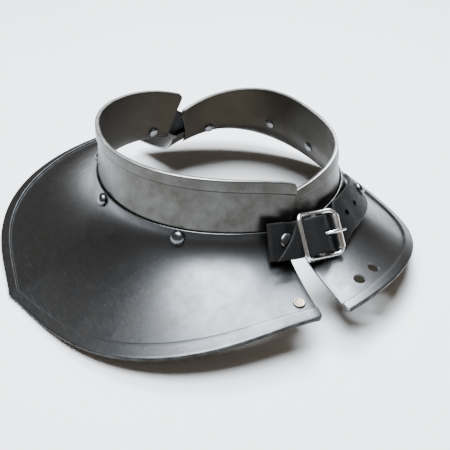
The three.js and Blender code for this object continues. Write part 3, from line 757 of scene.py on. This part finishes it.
def add_node(tree, kind, inputs=None, **values):
    node = tree.nodes.new(kind)
    for key, value in values.items():
        setattr(node, key, value)
    for key, value in (inputs or {}).items():
        if isinstance(value, bpy.types.NodeSocket):
            tree.links.new(value, node.inputs[key])
        else:
            node.inputs[key].default_value = value
    return node


def maths(tree, operation, a, b):
    return add_node(tree, "ShaderNodeMath", {0: a, 1: b}, operation=operation).outputs[0]


def spread(tree, value, low, high, to_low=0.0, to_high=1.0):
    inputs = {"Value": value, "From Min": low, "From Max": high, "To Min": to_low, "To Max": to_high}
    return add_node(tree, "ShaderNodeMapRange", inputs).outputs["Result"]


def place_of(tree):
    return add_node(tree, "ShaderNodeTexCoord").outputs["Object"]


def noise_of(tree, place, scale, detail, roughness=0.5, distortion=0.0):
    inputs = {"Vector": place, "Scale": scale, "Detail": detail, "Roughness": roughness}
    return add_node(tree, "ShaderNodeTexNoise", {**inputs, "Distortion": distortion}).outputs["Fac"]


def scratch_group():
    """Fine scratches in three crossing directions, and cloudy patches."""
    tree, start, end = new_group(
        "handling_marks",
        (("Scratch scale", 60.0), ("Cloud scale", 14.0)),
        ("Scratches", "Clouds", "Grain"),
    )
    place = place_of(tree)
    marks = None
    for turn, squeeze in ((0.3, 26), (1.35, 34), (2.3, 22)):
        mapping = add_node(tree, "ShaderNodeMapping", {"Vector": place})
        mapping.inputs["Rotation"].default_value = (0.35 * turn, 0.6 - 0.3 * turn, turn)
        mapping.inputs["Scale"].default_value = (1, squeeze, squeeze)
        noise = noise_of(tree, mapping.outputs[0], start.outputs["Scratch scale"], 3.0, 0.6)
        line = spread(tree, noise, 0.62, 0.74)
        marks = line if marks is None else maths(tree, "MAXIMUM", marks, line)
    tree.links.new(marks, end.inputs["Scratches"])
    tree.links.new(noise_of(tree, place, start.outputs["Cloud scale"], 6.0, 0.62, 0.7), end.inputs["Clouds"])
    tree.links.new(noise_of(tree, place, 900.0, 4.0, 0.6), end.inputs["Grain"])
    return tree


def edge_group():
    """Painted shade in creases and on the yoke's outer lip, and bright edges (wear, with a painted highlight
    on the plates' rims), broken up by noise.
    """
    tree, start, end = new_group("edge_wear", (("Noise scale", 180.0),), ("Grime", "Bright"))
    noise = noise_of(tree, place_of(tree), start.outputs["Noise scale"], 4.0)
    breakup = spread(tree, noise, 0.3, 0.7, 0.55, 1.0)
    for label, attribute in (("Grime", "crease"), ("Bright", "edge")):
        value = add_node(tree, "ShaderNodeAttribute", attribute_name=attribute).outputs["Fac"]
        tree.links.new(maths(tree, "MULTIPLY", value, breakup), end.inputs[label])
    return tree


def blend_colour(tree, share, a, b):
    a, b = (c if isinstance(c, bpy.types.NodeSocket) else (*c, 1) for c in (a, b))
    return add_node(tree, "ShaderNodeMix", {0: share, 6: a, 7: b}, data_type="RGBA").outputs[2]


def new_material(name, groups):
    shared_groups()
    material = bpy.data.materials.new(name)
    material.use_nodes = True
    tree = material.node_tree
    shader = tree.nodes["Principled BSDF"]
    placed = {}
    for group_name in groups:
        node = tree.nodes.new("ShaderNodeGroup")
        node.node_tree = GROUPS[group_name]
        placed[group_name] = node
    return material, tree, shader, placed


def finish_shader(tree, shader, base, rough, normal):
    for label, value in (("Base Color", base), ("Roughness", rough), ("Normal", normal)):
        tree.links.new(value, shader.inputs[label])


def metal_material(name, colour, dark, roughness, marks, bump, scratch_scale, waves=0.0, painted_shade_and_wear=False):
    groups = ("handling_marks", "edge_wear") if painted_shade_and_wear else ("handling_marks",)
    material, tree, shader, placed = new_material(name, groups)

    def times(a, b):
        return maths(tree, "MULTIPLY", a, b)

    def plus(a, b):
        return maths(tree, "ADD", a, b)

    marked = placed["handling_marks"]
    marked.inputs["Scratch scale"].default_value = scratch_scale
    mottle = noise_of(tree, place_of(tree), 95.0, 5.0, 0.7)
    shares = {0: 0.45, 2: marked.outputs["Clouds"], 3: mottle}
    patches = add_node(tree, "ShaderNodeMix", shares, data_type="FLOAT").outputs[0]
    cloud = spread(tree, patches, 0.36, 0.62)
    base = blend_colour(tree, cloud, dark, colour)
    scratches = marked.outputs["Scratches"]
    lighter = tuple(min(c * 1.35, 1) for c in colour)
    base = blend_colour(tree, times(scratches, 0.2 * marks), base, lighter)
    rough = spread(tree, patches, 0.34, 0.64, roughness + 0.09, roughness - 0.05)
    rough = plus(rough, times(scratches, 0.1 * marks))
    if painted_shade_and_wear:
        shade_and_wear = placed["edge_wear"]
        # Painted shade: creases and the yoke's outer lip darkened to 0.12 of the steel's colour
        base = blend_colour(tree, shade_and_wear.outputs["Grime"], base, tuple(c * 0.12 for c in colour))
        # Bright edges: worn steel, with a painted highlight along the plates' rims
        base = blend_colour(tree, shade_and_wear.outputs["Bright"], base, (0.86, 0.87, 0.88))
        rough = plus(rough, times(shade_and_wear.outputs["Grime"], 0.25))
        # Painted shade: the plates' inner faces are painted dark brown
        inner = add_node(tree, "ShaderNodeAttribute", attribute_name="inner").outputs["Fac"]
        base = blend_colour(tree, times(inner, 0.92), base, (0.024, 0.019, 0.013))
        rough = plus(rough, times(inner, 0.12))
    height = plus(times(scratches, -0.5), times(marked.outputs["Grain"], 0.35))
    sag = add_node(tree, "ShaderNodeBump", {
        "Height": marked.outputs["Clouds"], "Strength": waves, "Distance": 0.0014,
    })
    lump = add_node(tree, "ShaderNodeBump", {
        "Height": height, "Strength": bump, "Distance": 0.00015, "Normal": sag.outputs["Normal"],
    })
    shader.inputs["Metallic"].default_value = 1.0
    finish_shader(tree, shader, base, rough, lump.outputs["Normal"])
    return material


def leather_material(name, colour, edge_colour):
    material, tree, shader, placed = new_material(name, ("handling_marks", "edge_wear"))
    place = place_of(tree)
    pores = add_node(tree, "ShaderNodeTexVoronoi", {"Vector": place, "Scale": 1500.0, "Randomness": 1.0})
    folds = noise_of(tree, place, 260.0, 6.0, 0.65)
    cloud = placed["handling_marks"].outputs["Clouds"]
    dust = spread(tree, cloud, 0.45, 0.8, 0.0, 0.55)
    base = blend_colour(tree, dust, colour, tuple(c * 2.1 for c in colour))
    base = blend_colour(tree, placed["edge_wear"].outputs["Bright"], base, edge_colour)
    rough = spread(tree, folds, 0.3, 0.7, 0.5, 0.68)
    height = maths(tree, "ADD", maths(tree, "MULTIPLY", pores.outputs["Distance"], 0.8), folds)
    lump = add_node(tree, "ShaderNodeBump", {"Height": height, "Strength": 0.5, "Distance": 0.00035})
    shader.inputs["Specular IOR Level"].default_value = 0.18
    finish_shader(tree, shader, base, rough, lump.outputs["Normal"])
    return material


GROUPS = {}


def shared_groups():
    if not GROUPS:
        GROUPS["handling_marks"] = scratch_group()
        GROUPS["edge_wear"] = edge_group()


# Geometry Nodes: rivets set on points

def rivet_tree():
    """Sets one shape at every point, turned to the point's own direction."""
    tree = bpy.data.node_groups.new("set_on_points", "GeometryNodeTree")
    group_socket(tree, "Geometry", "NodeSocketGeometry")
    for label, kind, value in (("Shape", "NodeSocketObject", None), ("Finish", "NodeSocketMaterial", None),
                               ("Size", "NodeSocketFloat", 1.0), ("Seed", "NodeSocketInt", 7)):
        group_socket(tree, label, kind, value=value)
    group_socket(tree, "Geometry", "NodeSocketGeometry", "OUTPUT")
    start = tree.nodes.new("NodeGroupInput")
    end = tree.nodes.new("NodeGroupOutput")
    direction = add_node(tree, "GeometryNodeInputNamedAttribute", {"Name": "axis"}, data_type="FLOAT_VECTOR")
    spin = add_node(tree, "FunctionNodeRandomValue", {"Seed": start.outputs["Seed"]}, data_type="FLOAT")
    spin.inputs[3].default_value = 2 * math.pi
    align = add_node(
        tree, "FunctionNodeAlignRotationToVector", {"Vector": direction.outputs["Attribute"]}, axis="Z",
    )
    turn = add_node(tree, "FunctionNodeRotateRotation", rotation_space="LOCAL")
    about = add_node(tree, "FunctionNodeAxisAngleToRotation", {"Axis": (0, 0, 1), "Angle": spin.outputs[1]})
    tree.links.new(align.outputs[0], turn.inputs[0])
    tree.links.new(about.outputs[0], turn.inputs[1])
    info = add_node(tree, "GeometryNodeObjectInfo", {"Object": start.outputs["Shape"]})
    instance = add_node(tree, "GeometryNodeInstanceOnPoints", {
        "Points": start.outputs["Geometry"], "Instance": info.outputs["Geometry"],
        "Rotation": turn.outputs[0], "Scale": start.outputs["Size"],
    })
    real = add_node(tree, "GeometryNodeRealizeInstances", {"Geometry": instance.outputs["Instances"]})
    finish = add_node(tree, "GeometryNodeSetMaterial", {
        "Geometry": real.outputs["Geometry"], "Material": start.outputs["Finish"],
    })
    tree.links.new(finish.outputs["Geometry"], end.inputs["Geometry"])
    return tree


def input_id(tree, name):
    for item in tree.interface.items_tree:
        if item.item_type == "SOCKET" and item.in_out == "INPUT" and item.name == name:
            return item.identifier
    raise KeyError(name)


def set_rivets(name, seats, profile, sides, material, slot, replaces):
    """Rivets at (centre, axis) seats, made by the tree and turned into a plain mesh."""
    shape = mesh_object(name + "_shape", *turned_profile(profile, sides))
    piece = mesh_object(name, [centre + HOME for centre, _ in seats])
    axis = piece.data.attributes.new("axis", "FLOAT_VECTOR", "POINT")
    axis.data.foreach_set("vector", np.array([a for _, a in seats], dtype=np.float32).ravel())
    tree = bpy.data.node_groups.get("set_on_points") or rivet_tree()
    modifier = piece.modifiers.new("rivets", "NODES")
    modifier.node_group = tree
    for label, value in (("Shape", shape), ("Finish", material), ("Size", 1.0)):
        modifier[input_id(tree, label)] = value
    settle(piece)
    drop(shape)
    smooth(piece.data, SMOOTH_RIVET)
    claim(piece, slot, replaces)


def dome_profile(top, bottom, head, dome, washer=0.0):
    """A rivet: inner head, shank, a washer where there is one, and a domed outer head."""
    up, low = top + SEAT, bottom - SEAT
    profile = [(0, low - 1.5), (1.6, low - 1.42), (2.7, low - 1.1), (3.4, low - 0.5), (3.6, low - 0.08)]
    profile += [(3.5, low), (1.8, low), (1.8, up)]
    if washer:
        profile += [(washer - 0.1, up), (washer, up + 0.1), (washer, up + 0.6), (washer - 0.15, up + 0.72)]
        up += 0.72
    profile += [(head - 0.12, up), (head, up + 0.12)]
    for turn in (18, 34, 50, 64, 76, 84):
        k = math.radians(turn)
        profile.append((head * math.cos(k) ** 0.8, up + 0.12 + (dome - 0.12) * math.sin(k)))
    profile.append((0, up + dome))
    return profile


# Settings

def colour(name, description, default):
    return FloatVectorProperty(
        name=name, description=description, subtype="COLOR", default=default, min=0, max=1,
    )


class GorgetFinish(bpy.types.PropertyGroup):
    """Colours and finish of the metal and the leather."""

    steel: colour("Steel", "Colour of the yokes", (0.115, 0.121, 0.131))
    steel_dark: colour("Dull steel", "Colour of the yokes' duller patches", (0.066, 0.062, 0.057))
    # The collars take a darker, browner copy of the steel: painted shade
    collar_shaded: colour("Shaded collar steel", "Colour of the collars, darker and browner as painted shade", (0.085, 0.084, 0.081))
    collar_shaded_dull: colour("Dull shaded collar steel", "Colour of the collars' duller patches", (0.045, 0.041, 0.035))
    steel_roughness: FloatProperty(name="Steel roughness", description="How matte the plates are",
                                   default=0.33, min=0.05, max=1)
    leather: colour("Leather", "Colour of the leather", (0.003, 0.003, 0.0032))
    nickel: colour("Nickel", "Colour of the buckle", (0.93, 0.93, 0.94))


class GorgetStage(bpy.types.PropertyGroup):
    """Camera and studio."""

    azimuth: FloatProperty(name="Azimuth", description="Camera's way round, degrees", default=62.6)
    elevation: FloatProperty(name="Elevation", description="Camera's height angle, degrees", default=32.2)
    distance: FloatProperty(name="Distance", description="Camera to aim point", default=0.55, unit="LENGTH")
    scale: FloatProperty(name="Picture scale", description="Pixels a millimetre, at the aim", default=1.4545)
    floor: colour("Floor", "Colour of the floor", (0.95, 0.95, 0.95))
    key: FloatProperty(name="Key light", description="Power of the soft light", default=62.0, unit="POWER")
    rivet_sides: IntProperty(name="Rivet sides", description="Facets round a rivet",
                             default=32, min=12, max=64)


# Operators

def plate_marks(piece, rows_of, ends, half):
    """Marks painted shade in the crease under each raised border and on the yoke's outer lip, the bright
    edges (wear and painted highlight), and the inner face, painted dark as shade.
    """
    crease, edge, inner = [], [], []
    shine = YOKE_SHINE if rows_of is yoke_rows else COLLAR_SHINE
    for angle, thin_end in stations(ends, PLATE_STEP):
        rows = list(rows_of(half, angle, ends))
        creases, edges = [], []
        ups = [row[3] for row in rows]
        for i, row in enumerate(rows):
            up, thin = row[3], row[4]
            beside = max(abs(up - ups[max(i - 1, 0)]), abs(up - ups[min(i + 1, len(ups) - 1)]))
            creases.append(min(beside / (0.25 * RAISE), 1) if up < 0.85 * RAISE else 0.0)
            edges.append(shine * min(max(thin, thin_end) / 0.3, 1))
        lip = [0.0] * len(rows)
        # The yoke's outer lip gets painted shade in place of a bright edge
        if rows_of is yoke_rows:
            for i in range(len(rows) - len(EDGE_ROUND), len(rows)):
                lip[i] = 1.0
                edges[i] = 0.0
        crease += [max(pair) for pair in zip(creases, lip)] + lip[::-1]
        edge += edges + edges[::-1]
        inner += [0.0] * len(edges) + [1.0] * len(edges)
    set_attribute(piece, "inner", inner)
    set_attribute(piece, "crease", crease)
    set_attribute(piece, "edge", edge)


class GORGET_OT_plates(bpy.types.Operator):
    """Build the two yokes and the two collars."""
    bl_idname = "gorget.plates"
    bl_label = "Plates"

    def execute(self, context):
        look = context.scene.gorget_finish
        shared = (look.steel_roughness, 1.0, 0.12, 60.0, 0.22, True)
        yoke = metal_material("satin_steel_plate", tuple(look.steel), tuple(look.steel_dark), *shared)
        # The collars' steel is a darker copy, as painted shade
        collar = metal_material("satin_steel_band", tuple(look.collar_shaded), tuple(look.collar_shaded_dull), *shared)
        plans = (
            ("front_yoke", FRONT, yoke_rows, YOKE_ENDS_FRONT, yoke),
            ("back_yoke", BACK, yoke_rows, YOKE_ENDS_BACK, yoke),
            ("front_collar", FRONT, collar_rows, COLLAR_ENDS_FRONT, collar),
            ("back_collar", BACK, collar_rows, COLLAR_ENDS_BACK, collar),
        )
        for node, half, rows, ends, steel in plans:
            mesh = loft(plate(half, rows, ends))
            piece = new_piece(node + "_plate", *mesh, "satin_steel", node, steel, SMOOTH_SHEET)
            plate_marks(piece, rows, ends, half)
            if node == "back_yoke":
                seats = [BACK.seat_in(a, STUD_IN) for a in KEY_HOLE_ANGLES]
                cut_holes(piece, [hole(centre, axis, KEY_HOLE, 4, 40) for centre, axis in seats])
        return {"FINISHED"}


def leather_seats():
    """Rivets through leather: name, seat, and how far down the plates' inner face lies."""
    both = 2 * SHEET + GAP
    hinge_back = BACK.heading + END_RIVET_ANGLE - 360
    plans = (
        ("chape_rivet", BUCKLE_SIDE, 0, FRONT.heading + END_RIVET_ANGLE + 2.5, FRONT, both),
        ("strap_rivet", BUCKLE_SIDE, 0, STRAP_RIVET_TURN, BACK, SHEET),
        ("hinge_rivet_front", HINGE_SIDE, HINGE_RIVET_ACROSS, FRONT.heading - END_RIVET_ANGLE, FRONT, both),
        ("hinge_rivet_back", HINGE_SIDE, HINGE_RIVET_ACROSS, hinge_back, BACK, both),
    )
    out = {}
    for name, side, across, turn, half, through in plans:
        along = side.along_at(turn)
        centre = side.point(along, across, -side.stand)
        axis = unit(side.point(along, across, 1 - side.stand) - centre)
        angle = turn - half.heading
        angle += 360 if angle < -180 else 0
        best = None
        for s in np.arange(0, 3 * FOOT, 0.25):
            p = half.on_face(angle, s) - centre
            off = np.linalg.norm(p - axis * (p @ axis))
            if best is None or off < best[0]:
                best = (off, p @ axis)
        out[name] = (centre, axis, best[1] - through - 0.3)
    return out


class GORGET_OT_rivets(bpy.types.Operator):
    """Set the domed rivets through the plates and the leather."""
    bl_idname = "gorget.rivets"
    bl_label = "Rivets"

    def execute(self, context):
        sides = context.scene.gorget_stage.rivet_sides
        steel = metal_material(
            "rivet_steel_dome", (0.17, 0.175, 0.185), (0.11, 0.11, 0.115), 0.28, 0.6, 0.1, 120.0,
        )
        seats = [FRONT.seat(a, RIVET_DOWN) for a in (MIDDLE_RIVET_ANGLE, RIVET_ANGLE, -RIVET_ANGLE)]
        seats += [BACK.seat(a, RIVET_DOWN) for a in (0, RIVET_ANGLE)]
        nodes = ["front_rivet_" + side for side in ("middle", "left", "right")]
        nodes += ["back_rivet_" + side for side in ("middle", "right")]
        through = 2 * SHEET + GAP
        set_rivets("plate_rivets", seats, dome_profile(FLANGE_CURVE, -through, 4.3, 2.7), sides, steel,
                   "rivet_steel", nodes)
        tops = {"chape_rivet": (5.3 + STAND, 4.3, 1.4, 0.0),
                "strap_rivet": (LEATHER + STRAP_LIFT + STAND, 4.0, 2.2, 5.0),
                "hinge_rivet_front": (LEATHER + LIFT + 0.15, 4.3, 2.7, 0.0),
                "hinge_rivet_back": (LEATHER + LIFT + 0.15, 4.3, 2.7, 0.0)}
        for name, (centre, axis, bottom) in leather_seats().items():
            top, head, dome, washer = tops[name]
            profile = dome_profile(top, bottom, head, dome, washer)
            set_rivets(name + "_dome", [(centre, axis)], profile, sides, steel, "rivet_steel", (name,))
        return {"FINISHED"}


class GORGET_OT_stud(bpy.types.Operator):
    """Turn the locking stud with its peened end."""
    bl_idname = "gorget.stud"
    bl_label = "Locking stud"

    def execute(self, context):
        brass = metal_material("dull_brass", (0.42, 0.36, 0.27), (0.2, 0.165, 0.115), 0.4, 1.6, 0.8, 200.0)
        centre, axis = FRONT.seat_in(STUD_ANGLE, STUD_IN)
        low = -SHEET
        profile = (
            (0, low - 5.2), (1.2, low - 5.15), (2.2, low - 4.8), (2.8, low - 4.1), (2.9, low - 3.6),
            (2.5, low - 2.7), (2, low - 2.2), (2, low - 1.6), (3.4, low - 1.3), (3.6, low - 1.1),
            (3.6, low - 0.4), (3.5, low - SEAT), (1.8, low - SEAT),
            (1.8, 0.05), (3.3, 0.05), (3.55, 0.2), (3.6, 0.45), (3.45, 0.8),
            (3.05, 1.02), (2.7, 0.98), (2.3, 0.86), (1.2, 0.9), (0, 0.88),
        )
        mesh = turned_at(centre, axis, profile, 36)
        new_piece("locking_stud_turned", *mesh, "stud_brass", "locking_stud", brass, SMOOTH_TURNED)
        return {"FINISHED"}


class GORGET_OT_leather(bpy.types.Operator):
    """Cut the strap, the chape and the hinge from leather."""
    bl_idname = "gorget.leather"
    bl_label = "Leather"

    def execute(self, context):
        leather = tuple(context.scene.gorget_finish.leather)
        black = leather_material("black_leather_grain", leather, (0.02, 0.018, 0.016))
        self.strap(black)
        self.chape(black)
        self.hinge(black)
        return {"FINISHED"}

    def finish(self, name, strip, node, material, cutters=()):
        rings, marks = strip
        piece = new_piece(name, *loft(rings), "black_leather", node, material, SMOOTH_SHEET)
        set_attribute(piece, "edge", marks)
        if cutters:
            cut_holes(piece, cutters)

    def strap(self, material):
        far = BUCKLE_SIDE.along_at(STRAP_RIVET_TURN) + STRAP_PAST
        up = LEATHER / 2 + STRAP_LIFT
        rows = list(STRAP_RISE) + [(a, up) for a in np.arange(36, far - 2, 6)] + [(far, up)]
        slant = TAIL_LONG - TAIL_SHORT

        def tail(x, mark):
            short = (STRAP_HALF_WIDTH - x) / (2 * STRAP_HALF_WIDTH) * slant
            return short * max(1 - mark / TAIL_SLANTS_TO, 0)

        cutters = []
        for turn in FREE_HOLES:
            middle, _, out = BUCKLE_SIDE.frame_at("turn", turn)
            cutters.append(hole(middle, out, SMALL_HOLE, 5))
        cutters.append(slot_cutter(*STRAP_SLOT))
        strip = leather_strip(BUCKLE_SIDE, rows, tail)
        self.finish("closing_strap_leather", strip, "closing_strap", material, cutters)

    def chape(self, material):
        strip = leather_strip(BUCKLE_SIDE, CHAPE_RISE, None, 0.8)
        self.finish("buckle_chape_leather", strip, "buckle_chape", material, [slot_cutter(*CHAPE_SLOT)])

    def hinge(self, material):
        reach = HINGE_SIDE.along_at(FRONT.heading - END_RIVET_ANGLE) + HINGE_PAST
        rows = [(reach * k / 4, LEATHER / 2 + LIFT) for k in range(-4, 5)]
        self.finish("hinge_leather", leather_strip(HINGE_SIDE, rows), "hinge_strap", material)


def slot_cutter(along, up, long, wide, deep):
    rings = []
    for a in (-1, 1):
        corners = ((-1, 1), (1, 1), (1, -1), (-1, -1))
        rings.append([rigid_point(along + a * long / 2, b * wide / 2, up + c * deep / 2) for b, c in corners])
    return loft(rings)


def rail_up(along):
    """Height of the bowed buckle frame."""
    t = along / BUCKLE_HALF
    ends = (LEFT_BAR_UP * (1 - t) + ROLLER_UP * (1 + t)) / 2
    return ends + (MIDDLE_BAR_UP - (LEFT_BAR_UP + ROLLER_UP) / 2) * (1 - t * t)


def frame_outline(corner=3.2, turns=7):
    """The buckle's rectangle with rounded corners, as along and across pairs."""
    points = []
    for side_a, side_b, start in ((1, 1, 0), (-1, 1, 90), (-1, -1, 180), (1, -1, 270)):
        centre = (side_a * (BUCKLE_HALF - corner), side_b * (RAIL_HALF - corner))
        for k in range(turns):
            angle = math.radians(start + 90 * k / (turns - 1))
            points.append((centre[0] + corner * math.cos(angle), centre[1] + corner * math.sin(angle)))
        if side_a * side_b > 0:
            for share in (0.5, 0, -0.5):
                points.append((side_a * share * (BUCKLE_HALF - corner), side_b * RAIL_HALF))
    return points


class GORGET_OT_buckle(bpy.types.Operator):
    """Bend the buckle's wire, and make its roller and prong."""
    bl_idname = "gorget.buckle"
    bl_label = "Buckle"

    def execute(self, context):
        bright = tuple(context.scene.gorget_finish.nickel)
        nickel = metal_material("bright_nickel_plate", bright, (0.74, 0.74, 0.75), 0.24, 0.5, 0.05, 90.0)
        points = [rigid_point(a, b, rail_up(a)) for a, b in frame_outline()]
        loop, loop_faces = sweep(points, [WIRE] * len(points), 16, True, BUCKLE_OUT)
        ends = [rigid_point(0, b, rail_up(0)) for b in np.linspace(-RAIL_HALF, RAIL_HALF, 5)]
        bar, bar_faces = sweep(ends, [WIRE * 0.96] * 5, 16, False, BUCKLE_OUT)
        faces = loop_faces + [tuple(k + len(loop) for k in f) for f in bar_faces]
        vertices = np.concatenate([loop, bar])
        new_piece("buckle_wire", vertices, faces, "bright_nickel", "buckle_frame", nickel, SMOOTH_WIRE)
        self.roller(nickel)
        self.prong(nickel)
        return {"FINISHED"}

    def roller(self, material):
        reach = RAIL_HALF - 3.1
        centre = rigid_point(BUCKLE_HALF, 0, rail_up(BUCKLE_HALF))
        r, bore = ROLLER_RADIUS, WIRE + 0.3
        profile = ((bore, -reach), (r - 0.35, -reach), (r - 0.08, -reach + 0.12), (r, -reach + 0.5),
                   (r, reach - 0.5), (r - 0.08, reach - 0.12), (r - 0.35, reach), (bore, reach))
        x, y = axis_frame(BUCKLE_ACROSS)
        rings = []
        for t in np.arange(32) * 2 * math.pi / 32:
            away = x * math.cos(t) + y * math.sin(t)
            rings.append([centre + BUCKLE_ACROSS * h + away * q for q, h in profile])
        mesh = loft(rings, True)
        new_piece("roller_tube", *mesh, "bright_nickel", "buckle_roller", material, SMOOTH_TURNED)

    def prong(self, material):
        ring_radius = WIRE + GAP + PRONG_WIRE
        path = []
        for k in range(19):
            a = math.radians(95 + k * 16.5)
            path.append((ring_radius * math.cos(a), MIDDLE_BAR_UP + ring_radius * math.sin(a)))
        over = ROLLER_UP + ROLLER_RADIUS
        path += [
            (3.4, MIDDLE_BAR_UP + ring_radius + 0.6), (5.5, over - 0.3), (7.5, over + 0.8),
            (10, over + PRONG_WIRE + 0.15), (BUCKLE_HALF, over + PRONG_WIRE + SEAT),
            (BUCKLE_HALF + 2.2, over + PRONG_WIRE), (BUCKLE_HALF + 3.5, over + PRONG_WIRE - 0.4),
        ]
        points = [rigid_point(a, 0, up) for a, up in smooth_path(path, 0.5)]
        count = len(points)
        radii = [PRONG_WIRE * (1 - 0.22 * fade((k / count - 0.75) / 0.25)) for k in range(count)]
        radii[-1] = PRONG_WIRE * 0.45
        mesh = sweep(points, radii, 16, False, BUCKLE_ACROSS)
        new_piece("prong_rod", *mesh, "bright_nickel", "buckle_prong", material, SMOOTH_SHEET)


# Aim point of the camera, millimetres from the gorget's own axis
AIM = (-1.8, -3.4, 3.3)
PICTURE = 450
SENSOR = 36
FLOOR_REACH = 4000


class GORGET_OT_stage(bpy.types.Operator):
    """Lay the floor and set the lights and the camera."""
    bl_idname = "gorget.stage"
    bl_label = "Stage"

    def execute(self, context):
        stage = context.scene.gorget_stage
        self.floor(stage)
        self.camera(stage)
        self.lights(stage)
        return {"FINISHED"}

    def floor(self, stage):
        corners = [(x * FLOOR_REACH, y * FLOOR_REACH, 0) for x, y in ((-1, -1), (1, -1), (1, 1), (-1, 1))]
        floor = mesh_object("studio_floor", corners, [(0, 1, 2, 3)])
        material = bpy.data.materials.new("pale_floor")
        material.use_nodes = True
        shader = material.node_tree.nodes["Principled BSDF"]
        shader.inputs["Base Color"].default_value = (*stage.floor, 1)
        shader.inputs["Roughness"].default_value = 0.9
        shader.inputs["Specular IOR Level"].default_value = 0.1
        floor.data.materials.append(material)

    def camera(self, stage):
        a, e = math.radians(stage.azimuth), math.radians(stage.elevation)
        aim = (Vector(AIM) + Vector(HOME)) * MM
        away = Vector((math.sin(a) * math.cos(e), -math.cos(a) * math.cos(e), math.sin(e)))
        camera = add_object("camera", bpy.data.cameras.new("camera"))
        camera.location = aim + away * stage.distance
        camera.rotation_euler = (-away).to_track_quat("-Z", "Y").to_euler()
        camera.data.sensor_width = SENSOR
        camera.data.lens = stage.scale * stage.distance / MM / PICTURE * SENSOR
        camera.data.clip_start = 0.01
        bpy.context.scene.camera = camera

    def lights(self, stage):
        world = bpy.data.worlds.new("studio")
        bpy.context.scene.world = world
        world.use_nodes = True
        tree = world.node_tree
        back = tree.nodes["Background"]
        back.inputs["Color"].default_value = (1, 0.85, 0.7, 1)
        back.inputs["Strength"].default_value = 0.17
        plans = (
            ("overhead_light", (0.06, -0.16, 1.25), 0.9, stage.key * 0.85),
            ("back_light", (-0.46, 0.4, 1.05), 0.5, stage.key * 0.42),
        )
        for name, place, size, power in plans:
            lamp = bpy.data.lights.new(name, "AREA")
            lamp.shape = "DISK"
            lamp.size = size
            lamp.energy = power
            lamp.color = (0.88, 0.945, 1.0)
            light = add_object(name, lamp)
            light.location = place
            light.rotation_euler = (-light.location).to_track_quat("-Z", "Y").to_euler()


class GORGET_PT_panel(bpy.types.Panel):
    """Lists the settings and the building steps."""
    bl_label = "Gorget"
    bl_space_type = "VIEW_3D"
    bl_region_type = "UI"
    bl_category = "Gorget"

    def draw(self, context):
        layout = self.layout
        for group in (context.scene.gorget_finish, context.scene.gorget_stage):
            for name in group.__annotations__:
                layout.prop(group, name)
        for operator in OPERATORS:
            layout.operator(operator.bl_idname)


OPERATORS = (
    GORGET_OT_plates, GORGET_OT_rivets, GORGET_OT_stud, GORGET_OT_leather, GORGET_OT_buckle, GORGET_OT_stage,
)
CLASSES = (GorgetFinish, GorgetStage, *OPERATORS, GORGET_PT_panel)


def register():
    for item in CLASSES:
        bpy.utils.register_class(item)
    bpy.types.Scene.gorget_finish = PointerProperty(type=GorgetFinish)
    bpy.types.Scene.gorget_stage = PointerProperty(type=GorgetStage)


def unregister():
    del bpy.types.Scene.gorget_stage
    del bpy.types.Scene.gorget_finish
    for item in reversed(CLASSES):
        bpy.utils.unregister_class(item)


def main():
    register()
    bpy.ops.gorget.plates()
    bpy.ops.gorget.rivets()
    bpy.ops.gorget.stud()
    bpy.ops.gorget.leather()
    bpy.ops.gorget.buckle()
    bpy.ops.gorget.stage()


if __name__ == "__main__":
    main()
